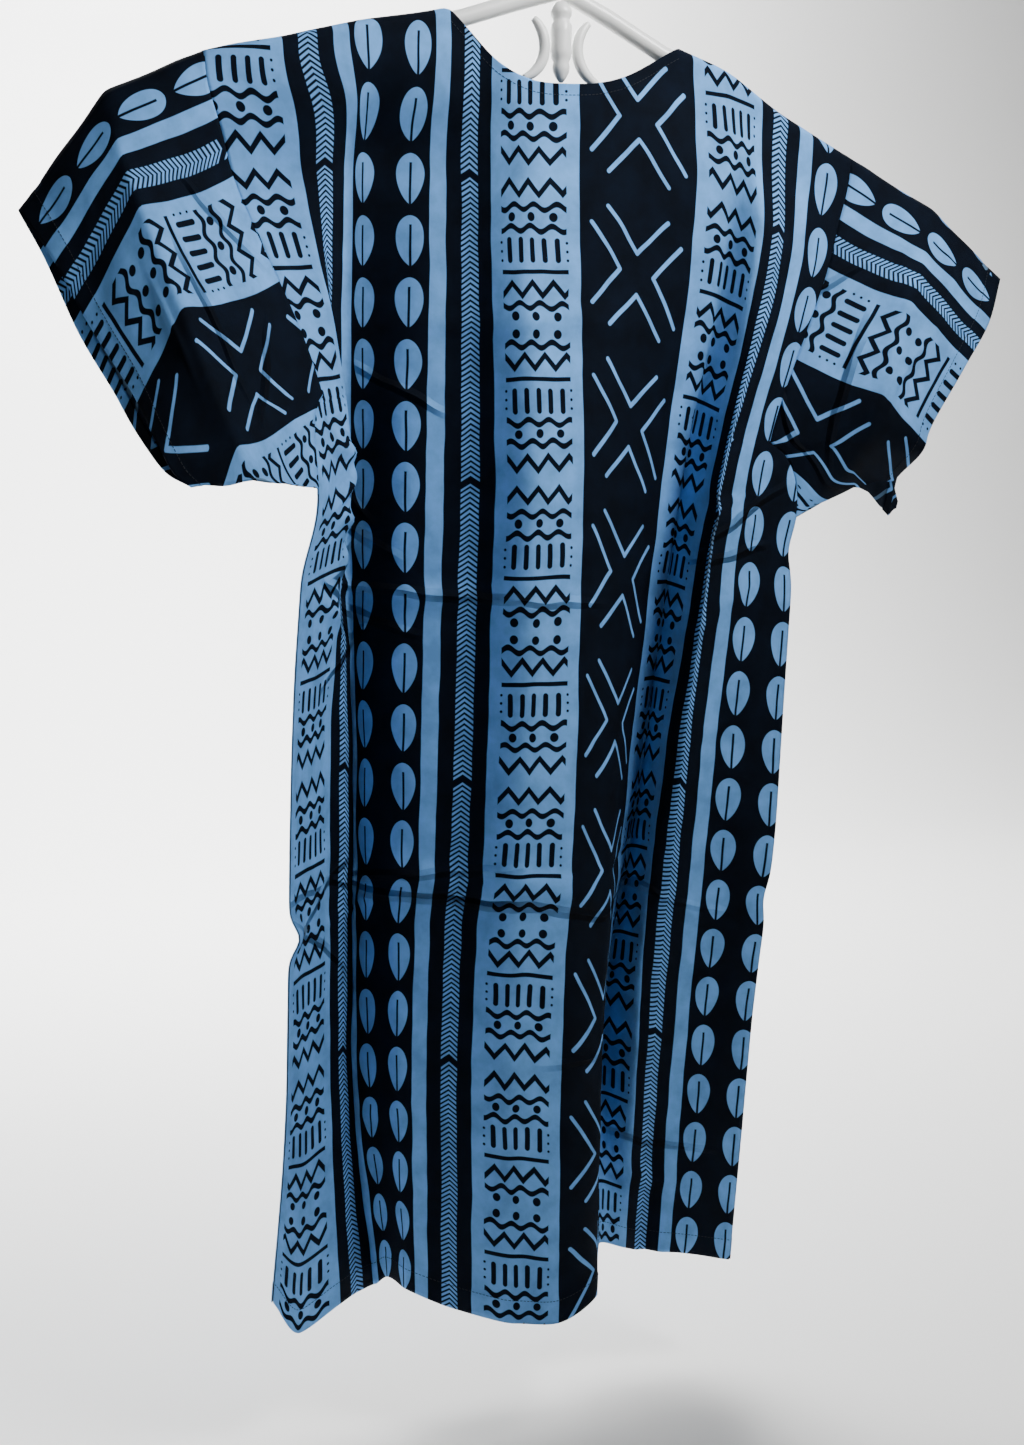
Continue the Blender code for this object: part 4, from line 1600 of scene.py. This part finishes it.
@dataclass
class Sleeve:
    """A set-in sleeve: rings from the armhole, over the pressed ridge, to the cuff."""

    side: Side
    name: str
    node: str
    table: tuple[tuple, ...]
    open_gap: float
    sag: float
    creases: tuple[Crease, ...]
    print_shift: float
    cuff_down: float = 0.310
    flat_size: tuple[float, float] = (0.69, 0.195)
    area: float = 0.112
    ridge: float = 0.42
    ridge_soft: float = 0.030
    around: int = 92
    along: int = 60
    hem: float = 0.022
    length: float = 0.205
    turn_in: float = 0.0010
    seam_gap: float = 0.0006
    hem_stand: float = 0.0005
    sag_place: float = 0.86
    sag_width: float = 0.11

    def edge(self, form: TunicForm, half: Half, share: np.ndarray) -> np.ndarray:
        """The armhole's edge.

        Args:
            form: the garment's surface.
            half: front or back.
            share: how far round from the shoulder to the underarm.
        Returns:
            Points just outside the panel's cut edge.
        """
        straight = form.armhole_turn
        fall = form.armhole_scoop - form.armhole_top
        level = form.armhole_top + fall * np.minimum(share / straight, 1.0)
        angle = np.clip((share - straight) / (1.0 - straight), 0.0, 1.0) * math.pi / 2.0
        scoop = mix(form.armhole_scoop, form.armpit, np.sin(angle))
        level = mix(level, scoop, (share > straight).astype(float))
        inset = form.inset(level) + self.seam_gap * np.cos(angle)
        cut = form.side_near + inset if self.side is Side.NEAR else form.side_far - inset
        down = form.down_at(cut, (level - form.armhole_top) / (form.length - form.armhole_top))
        return form.at(half, cut, down - self.seam_gap * np.sin(angle))

    def station(self, column: int, share: np.ndarray) -> np.ndarray:
        """Points of a table's column.

        Args:
            column: 2 for the ridge, 3 for the cuff.
            share: how far round from the shoulder.
        Returns:
            Points.
        """
        places = [row[1] for row in self.table]
        points = np.array([row[column] for row in self.table]) / 1000.0
        return through(places, points, share)

    def grid(self, form: TunicForm) -> tuple[np.ndarray, np.ndarray]:
        """The sleeve's points and flat places.

        Args:
            form: the garment's surface.
        Returns:
            Rows of points, each one a ring, and their flat places.
        """
        share = np.linspace(0.0, 1.0, self.around + 1)
        halves = []
        for half in (Half.FRONT, Half.BACK):
            start = self.edge(form, half, share)
            ridge, cuff = self.station(2, share), self.station(3, share)
            if half is Half.BACK:
                gap = self.open_gap * np.sin(math.pi * share)
                drop = self.sag * np.exp(-(((share - self.sag_place) / self.sag_width) ** 2))
                zero = np.zeros_like(gap)
                ridge = ridge + np.stack([self.side.value * 0.15 * gap, gap, zero], axis=-1)
                cuff = cuff + np.stack([self.side.value * 0.10 * gap, gap, -drop], axis=-1)
            t = np.linspace(0.0, 1.0, self.along + 1)[:, None, None]
            first = mix(start[None], ridge[None], np.clip(t / self.ridge, 0.0, 1.0))
            past = np.clip((t - self.ridge) / (1.0 - self.ridge), 0.0, 1.0)
            rings = np.where(t < self.ridge, first, mix(ridge[None], cuff[None], past))
            bend = np.maximum(0.0, 1.0 - np.abs(t - self.ridge) / self.ridge_soft) ** 2
            chord = mix(start, cuff, self.ridge)[None]
            rings = rings + (chord - ridge[None]) * bend * self.ridge_soft * 0.25 / self.ridge
            halves.append(rings)
        front, back = halves
        points = np.concatenate([back[:, -2:0:-1], front], axis=1)
        round_front, round_back = self.round_from_shoulder(front), self.round_from_shoulder(back)
        closing = round_front[:, -1:] + round_back[:, -1:] - round_back[:, -2:-1]
        across = np.concatenate([-round_back[:, -2:0:-1], round_front, closing], axis=1)
        lengths = np.linalg.norm(np.diff(points, axis=0), axis=2)
        run = np.cumsum(lengths[::-1], axis=0)[::-1]
        run = np.concatenate([run, np.zeros((1, points.shape[1]))], axis=0)
        run = np.concatenate([run, run[:, :1]], axis=1)
        flat = np.stack([self.print_shift + across, self.cuff_down - run], axis=-1)
        return points, flat

    def round_from_shoulder(self, rings: np.ndarray) -> np.ndarray:
        """Distance along each ring from its shoulder fold.

        Args:
            rings: rows of points, each starting at the shoulder fold.
        Returns:
            The distances, one for each point.
        """
        steps = np.linalg.norm(np.diff(rings, axis=1), axis=2)
        return np.concatenate([np.zeros((len(rings), 1)), np.cumsum(steps, axis=1)], axis=1)

    def build(self, form: TunicForm, wardrobe: "Wardrobe") -> bpy.types.Object:
        """Makes the sleeve and dresses its cuff.

        Args:
            form: the garment's surface.
            wardrobe: the materials.
        Returns:
            The sleeve's object.
        """
        points, flat = self.grid(form)
        normals = surface_normals(points, closed=True)
        middle = points.mean(axis=(0, 1))
        if float(((points - middle) * normals).sum()) < 0.0:
            normals = -normals
        wide = flat[:, :-1, 0] - self.print_shift
        long = np.linspace(0.0, 1.0, self.along + 1)[:, None] * self.length
        wave = np.sin(wide * 67.0 + 1.4 * np.sin(long * 21.0))
        wave = wave + 0.6 * np.sin(long * 92.0 + 2.0 * np.sin(wide * 23.0))
        lift = 0.0007 * wave
        for crease in self.creases:
            lift = lift + crease.lift(wide, long)
        lift = lift * smooth(long / 0.02)
        stand = self.hem_stand * smooth((long - (self.length - self.hem)) / 0.0015)
        points = points + normals * (lift + stand)[..., None]
        pair = wardrobe.sleeve_pair
        cloth = cloth_object(self.name, points, flat, form.cloth, pair, normals, closed=True)
        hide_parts(self.node)
        extras = [
            self.dress_hem(points, flat, normals, wardrobe),
            self.dress_stitches(points, normals, form, wardrobe),
        ]
        return cloth

    def dress_hem(
        self,
        points: np.ndarray,
        flat: np.ndarray,
        normals: np.ndarray,
        wardrobe: "Wardrobe",
    ) -> bpy.types.Object:
        """The cuff's turned-in allowance.

        Args:
            points: the sleeve's points.
            flat: their flat places.
            normals: their normals.
            wardrobe: the materials.
        Returns:
            The turn-in's object.
        """
        count = max(3, int(round(self.hem / self.length * self.along)))
        outs = normals[-count:]
        rows = points[-count:] - outs * self.turn_in
        pair = wardrobe.sleeve_pair[::-1]
        name = self.name + "_hem"
        item = cloth_object(name, rows, flat[-count:], 0.0005, pair, outs, closed=True)
        return item

    def dress_stitches(
        self,
        points: np.ndarray,
        normals: np.ndarray,
        form: TunicForm,
        wardrobe: "Wardrobe",
    ) -> bpy.types.Object:
        """The row of stitching round the cuff.

        Args:
            points: the sleeve's points.
            normals: their normals.
            form: the garment's surface.
            wardrobe: the materials.
        Returns:
            The thread's object.
        """
        mesh = bmesh.new()
        row = self.along - int(round((self.hem - 0.0015) / self.length * self.along))
        ring = np.concatenate([points[row], points[row, :1]])
        outs = np.concatenate([normals[row], normals[row, :1]])
        thread_mesh(mesh, ring + outs * (form.cloth / 2.0), outs)
        item = link_mesh(self.name + "_stitches", mesh, wardrobe.thread)
        return item


@dataclass
class SideSeam:
    """The joined allowance down a side, held by overlock thread."""

    side: Side
    name: str
    allowance: float = 0.009
    pitch: float = 0.0032
    rows: int = 190
    thread: float = 0.00022
    lift: float = 0.0007

    def build(self, form: TunicForm, wardrobe: "Wardrobe") -> list[bpy.types.Object]:
        """Makes the allowance and its thread.

        Args:
            form: the garment's surface.
            wardrobe: the materials.
        Returns:
            The strip and the thread.
        """
        edge = form.side_near if self.side is Side.NEAR else form.side_far
        inward = -self.side.value
        down = np.linspace(form.armpit + 0.004, form.length - 0.002, self.rows)
        front = form.at(Half.FRONT, np.full_like(down, edge), down)
        back = form.at(Half.BACK, np.full_like(down, edge), down)
        middle = (front + back) / 2.0
        inner = np.full_like(down, edge + inward * self.allowance)
        tip = (form.at(Half.FRONT, inner, down) + form.at(Half.BACK, inner, down)) / 2.0
        shares = np.linspace(0.0, 1.0, 4)[None, :, None]
        points = mix(middle[:, None], tip[:, None], shares)
        across = edge + inward * shares[..., 0] * self.allowance
        flat = np.stack(np.broadcast_arrays(across, down[:, None]), axis=-1)
        pair = (wardrobe.sleeve_pair[1], wardrobe.sleeve_pair[1])
        strip = cloth_object(self.name, points, flat, 0.0009, pair)
        path = []
        count = int((down[-1] - down[0]) / self.pitch)
        for n in range(2 * count):
            spot = down[0] + (n + 0.5) * self.pitch / 2.0
            base, end = along_path(down, middle, spot), along_path(down, tip, spot)
            # The thread zigzags from inside the allowance to just past its raw edge
            if n % 2:
                path.append(mix(base, end, 0.45) - np.array([inward * self.lift, 0.0, 0.0]))
            else:
                path.append(mix(base, end, 1.03))
        curve = bpy.data.curves.new(self.name + "_overlock", "CURVE")
        curve.dimensions = "3D"
        curve.bevel_depth = self.thread
        curve.bevel_resolution = 1
        spline = curve.splines.new("POLY")
        spline.points.add(len(path) - 1)
        for point, place in zip(spline.points, path):
            point.co = (*place, 1.0)
        thread = bpy.data.objects.new(self.name + "_overlock", curve)
        curve.materials.append(wardrobe.thread)
        bpy.context.scene.collection.objects.link(thread)
        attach(thread, BODY)
        return [strip, thread]


@dataclass
class Hanger:
    """The white hanger: arms with a wire hook, a turned stem and two scrolls."""

    rod_radius: float = 0.007
    near_tip: float = 0.072
    far_tip: float = 0.600
    settle: float = 1.13
    apex: float = 0.131
    wire: float = 0.0028
    bend: float = 0.0248
    stem_radius: float = 0.009
    foot: float = 0.203
    scroll_radius: float = 0.0048
    bow: float = 0.028

    def arm(self, form: TunicForm, cut: float) -> tuple[float, float, float]:
        """The middle of the arm under a place of the shoulder seam.

        Args:
            form: the garment's surface.
            cut: place across.
        Returns:
            The point.
        """
        spot = np.array([cut])
        crown = form.hung(spot, form.arm_line(spot))[0]
        return (float(crown[0]), 0.0, float(crown[2]) - self.settle * form.wrap_radius)

    def arc(
        self,
        center: tuple[float, float],
        radius: float,
        start: float,
        end: float,
        count: int,
    ) -> list[tuple[float, float, float]]:
        """Points of a round bend in the hanger's plane.

        Args:
            center: its middle, across and up.
            radius: its radius.
            start: the first angle in degrees.
            end: the last angle.
            count: how many steps.
        Returns:
            The points.
        """
        across, up = center
        angles = np.radians(np.linspace(start, end, count + 1))
        return [(across + radius * math.cos(a), 0.0, up + radius * math.sin(a)) for a in angles]

    def build(self, form: TunicForm, wardrobe: "Wardrobe") -> list[bpy.types.Object]:
        """Makes every piece of the hanger.

        Args:
            form: the garment's surface.
            wardrobe: the materials.
        Returns:
            The pieces.
        """
        near_cuts = np.linspace(self.near_tip, form.near_neck + 0.02, 24)
        far_cuts = np.linspace(form.far_neck - 0.02, self.far_tip, 24)
        near = [self.arm(form, float(cut)) for cut in near_cuts]
        far = [self.arm(form, float(cut)) for cut in far_cuts]
        top = (0.0, 0.0, -self.apex)
        rises = [(end[0] * 0.45, 0.0, mix(end[2], -self.apex, 0.58)) for end in (near[-1], far[0])]
        line = near + [rises[0], top, rises[1]] + far
        radii = [self.rod_radius] * len(line)
        for n, share in enumerate((0.35, 0.75, 0.93)):
            radii[n] = radii[-1 - n] = self.rod_radius * share
        arms = tube("hanger_arms", line, radii, wardrobe.paint, 24)
        shank = [(0.0, 0.0, z) for z in np.linspace(-self.apex, -2.0 * self.bend - 0.012, 20)]
        hook_line = shank + self.arc((0.0, self.wire - self.bend), self.bend, -90.0, 205.0, 60)
        radii = [self.wire] * len(hook_line)
        radii[-2:] = [self.wire * 1.25, self.wire * 0.7]
        hook = tube("hanger_hook", hook_line, radii, wardrobe.paint, 16)
        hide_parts("hanger_frame")
        stem = self.stem(wardrobe)
        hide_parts("hanger_stem")
        pieces = [arms, hook, stem]
        for side, node in ((Side.NEAR, "hanger_scroll_near"), (Side.FAR, "hanger_scroll_far")):
            out = side.value
            reach = self.stem_radius + self.scroll_radius + 0.0005 + self.bow
            center = (out * reach, -self.foot + 0.027)
            first, last = (50.0, -70.0) if side is Side.NEAR else (130.0, 250.0)
            line = self.arc(center, self.bow, first, last, 40)
            shares = np.linspace(0.0, 1.0, len(line))
            radii = list(self.scroll_radius * (1.0 - 0.45 * np.abs(2.0 * shares - 1.0) ** 3))
            scroll = tube(node + "_dressed", line, radii, wardrobe.paint, 18)
            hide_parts(node)
            pieces.append(scroll)
        return pieces

    def stem(self, wardrobe: "Wardrobe") -> bpy.types.Object:
        """The turned stem, with beads and a pointed foot.

        Args:
            wardrobe: the materials.
        Returns:
            The stem's object.
        """
        top = -self.apex - 0.0095
        low = -self.foot
        upper = [(share, top - fall) for share, fall in STEM_TOP]
        lower = [(share, low + rise) for share, rise in STEM_FOOT]
        profile = upper + lower
        line = [(0.0, 0.0, z) for _, z in profile]
        radii = [self.stem_radius * share for share, _ in profile]
        return tube("hanger_stem_dressed", line, radii, wardrobe.paint, 28)


@dataclass
class Wardrobe:
    """The materials of the scene, each made once."""

    chart: BandChart = field(default_factory=BandChart)

    def __post_init__(self) -> None:
        """Makes every material."""
        # Less dye reaches the wrong side, so its blue is greyer and its black paler
        wrong = PrintedCotton("printed_cotton_wrong_side", light_code="5f7f9f", dark_code="1b2330")
        front = PrintedCotton("printed_cotton_front", pressings=FRONT_PRESSINGS)
        back = PrintedCotton("printed_cotton_back", pressings=BACK_PRESSINGS)
        sleeve = PrintedCotton("printed_cotton_sleeves", pressings=SLEEVE_PRESSINGS)
        inside = wrong.make(self.chart)
        self.panel_pairs = {
            Half.FRONT: (front.make(self.chart), inside),
            Half.BACK: (back.make(self.chart), inside),
        }
        self.sleeve_pair = (sleeve.make(self.chart), inside)
        # Spun polyester thread: hairy, so it is matt and almost as dark as the black dye
        self.thread = PlainFinish("spun_navy_thread", "10151f", 0.80, 0.5, 2600.0).make()
        # Sprayed enamel on steel: a soft highlight under a thin gloss, with slight orange peel
        paint = PlainFinish("white_sprayed_satin_paint", "f4f5f3", 0.36, 0.12, 900.0, coat=0.25)
        self.paint = paint.make()
        # Matt card: an even pale ground with no highlight
        self.floor = PlainFinish("matt_white_sweep", "f6f6f5", 0.9, 0.0, 20.0).make()


@dataclass
class Studio:
    """A pale sweep, soft lights and the camera at the photograph's angle."""

    camera_place: Place = (-0.5285, -1.3353, -0.5778)
    tilt: float = 84.0
    turn: float = -20.0
    lens: float = 42.353
    floor_level: float = -1.36
    floor_front: float = -5.0
    half_width: float = 6.0
    wall: float = 3.6
    wall_top: float = 4.0
    curve: float = 1.2
    sky: float = 0.022

    def light(
        self,
        name: str,
        place: Place,
        aim: Place,
        size: float,
        power: float,
        spread: float = 180.0,
    ) -> None:
        """A square soft light.

        Args:
            name: its name.
            place: where it stands.
            aim: what it points at.
            size: its side.
            power: its power in watts.
            spread: how wide it shines, degrees.
        """
        data = bpy.data.lights.new(name, "AREA")
        data.shape = "SQUARE"
        data.size = size
        data.energy = power
        data.spread = math.radians(spread)
        item = bpy.data.objects.new(name, data)
        item.location = place
        way = Vector(aim) - Vector(place)
        item.rotation_euler = way.to_track_quat("-Z", "Y").to_euler()
        # The lamp lights the cloth but is never seen itself, from any side
        item.visible_camera = False
        bpy.context.scene.collection.objects.link(item)

    def build(self, wardrobe: Wardrobe) -> None:
        """Makes the sweep, the lights, the world and the camera.

        Args:
            wardrobe: the materials.
        """
        mesh = bmesh.new()
        rows = []
        for y, z in self.sweep_profile():
            rows.append([mesh.verts.new((x, y, z)) for x in (-self.half_width, self.half_width)])
        for first, second in zip(rows, rows[1:]):
            mesh.faces.new((first[0], first[1], second[1], second[0]))
        data = bpy.data.meshes.new("sweep")
        mesh.to_mesh(data)
        mesh.free()
        data.polygons.foreach_set("use_smooth", np.ones(len(data.polygons), bool))
        sweep = bpy.data.objects.new("sweep", data)
        data.materials.append(wardrobe.floor)
        bpy.context.scene.collection.objects.link(sweep)
        self.light("key", (0.50, -0.76, 0.42), (0.0, 0.0, -0.16), 0.45, 8.6, spread=105.0)
        self.light("fill", (-1.4, -2.3, 0.3), (0.0, 0.0, -0.4), 1.4, 1.7)
        self.light("back", (0.6, 1.9, 0.6), (0.0, 0.0, -0.6), 1.2, 8.0)
        self.light("wall", (0.0, 2.2, 1.6), (0.0, 3.6, 0.3), 2.6, 300.0)
        self.light("floor", (0.0, 1.9, 0.9), (0.0, 1.8, -1.36), 1.9, 120.0)
        world = bpy.data.worlds.new("studio")
        world.use_nodes = True
        sky = world.node_tree.nodes["Background"]
        sky.inputs["Color"].default_value = srgb("f4f7fb")
        sky.inputs["Strength"].default_value = self.sky
        bpy.context.scene.world = world
        data = bpy.data.cameras.new("camera")
        data.lens = self.lens
        data.sensor_width = 36.0
        data.clip_start = 0.05
        data.clip_end = 60.0
        camera = bpy.data.objects.new("camera", data)
        camera.location = self.camera_place
        camera.rotation_euler = (math.radians(self.tilt), 0.0, math.radians(self.turn))
        bpy.context.scene.collection.objects.link(camera)
        bpy.context.scene.camera = camera

    def sweep_profile(self) -> Iterable[tuple[float, float]]:
        """The floor's section, curving up into the wall.

        Returns:
            Places along Y and their heights.
        """
        steps = 12
        yield (self.floor_front, self.floor_level)
        for n in range(steps + 1):
            angle = math.radians(90.0 * n / steps)
            along = self.wall - self.curve + self.curve * math.sin(angle)
            yield (along, self.floor_level + self.curve * (1.0 - math.cos(angle)))
        yield (self.wall, self.wall_top)


def main() -> None:
    """Builds the tunic, its hanger and the studio."""
    logging.basicConfig(level=logging.INFO, format="%(name)s: %(message)s")
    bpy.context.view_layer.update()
    form = TunicForm()
    wardrobe = Wardrobe()
    panels = (
        Panel(
            Half.FRONT,
            "front_cloth",
            "front_panel",
            columns=176,
            rows=262,
            creases=FRONT_CREASES,
        ),
        Panel(
            Half.BACK,
            "back_cloth",
            "back_panel",
            columns=150,
            rows=220,
            creases=BACK_CREASES,
        ),
    )
    for panel in panels:
        panel.build(form, wardrobe)
    sleeves = (
        Sleeve(
            Side.NEAR,
            "sleeve_near_cloth",
            "sleeve_near",
            NEAR_SLEEVE,
            open_gap=0.048,
            sag=0.0,
            creases=NEAR_SLEEVE_CREASES,
            print_shift=0.176,
        ),
        Sleeve(
            Side.FAR,
            "sleeve_far_cloth",
            "sleeve_far",
            FAR_SLEEVE,
            open_gap=0.036,
            sag=0.034,
            creases=FAR_SLEEVE_CREASES,
            print_shift=0.170,
        ),
    )
    for sleeve in sleeves:
        sleeve.build(form, wardrobe)
    for side, name in ((Side.NEAR, "side_seam_near"), (Side.FAR, "side_seam_far")):
        SideSeam(side, name).build(form, wardrobe)
    Hanger().build(form, wardrobe)
    Studio().build(wardrobe)


if __name__ == "__main__":
    main()
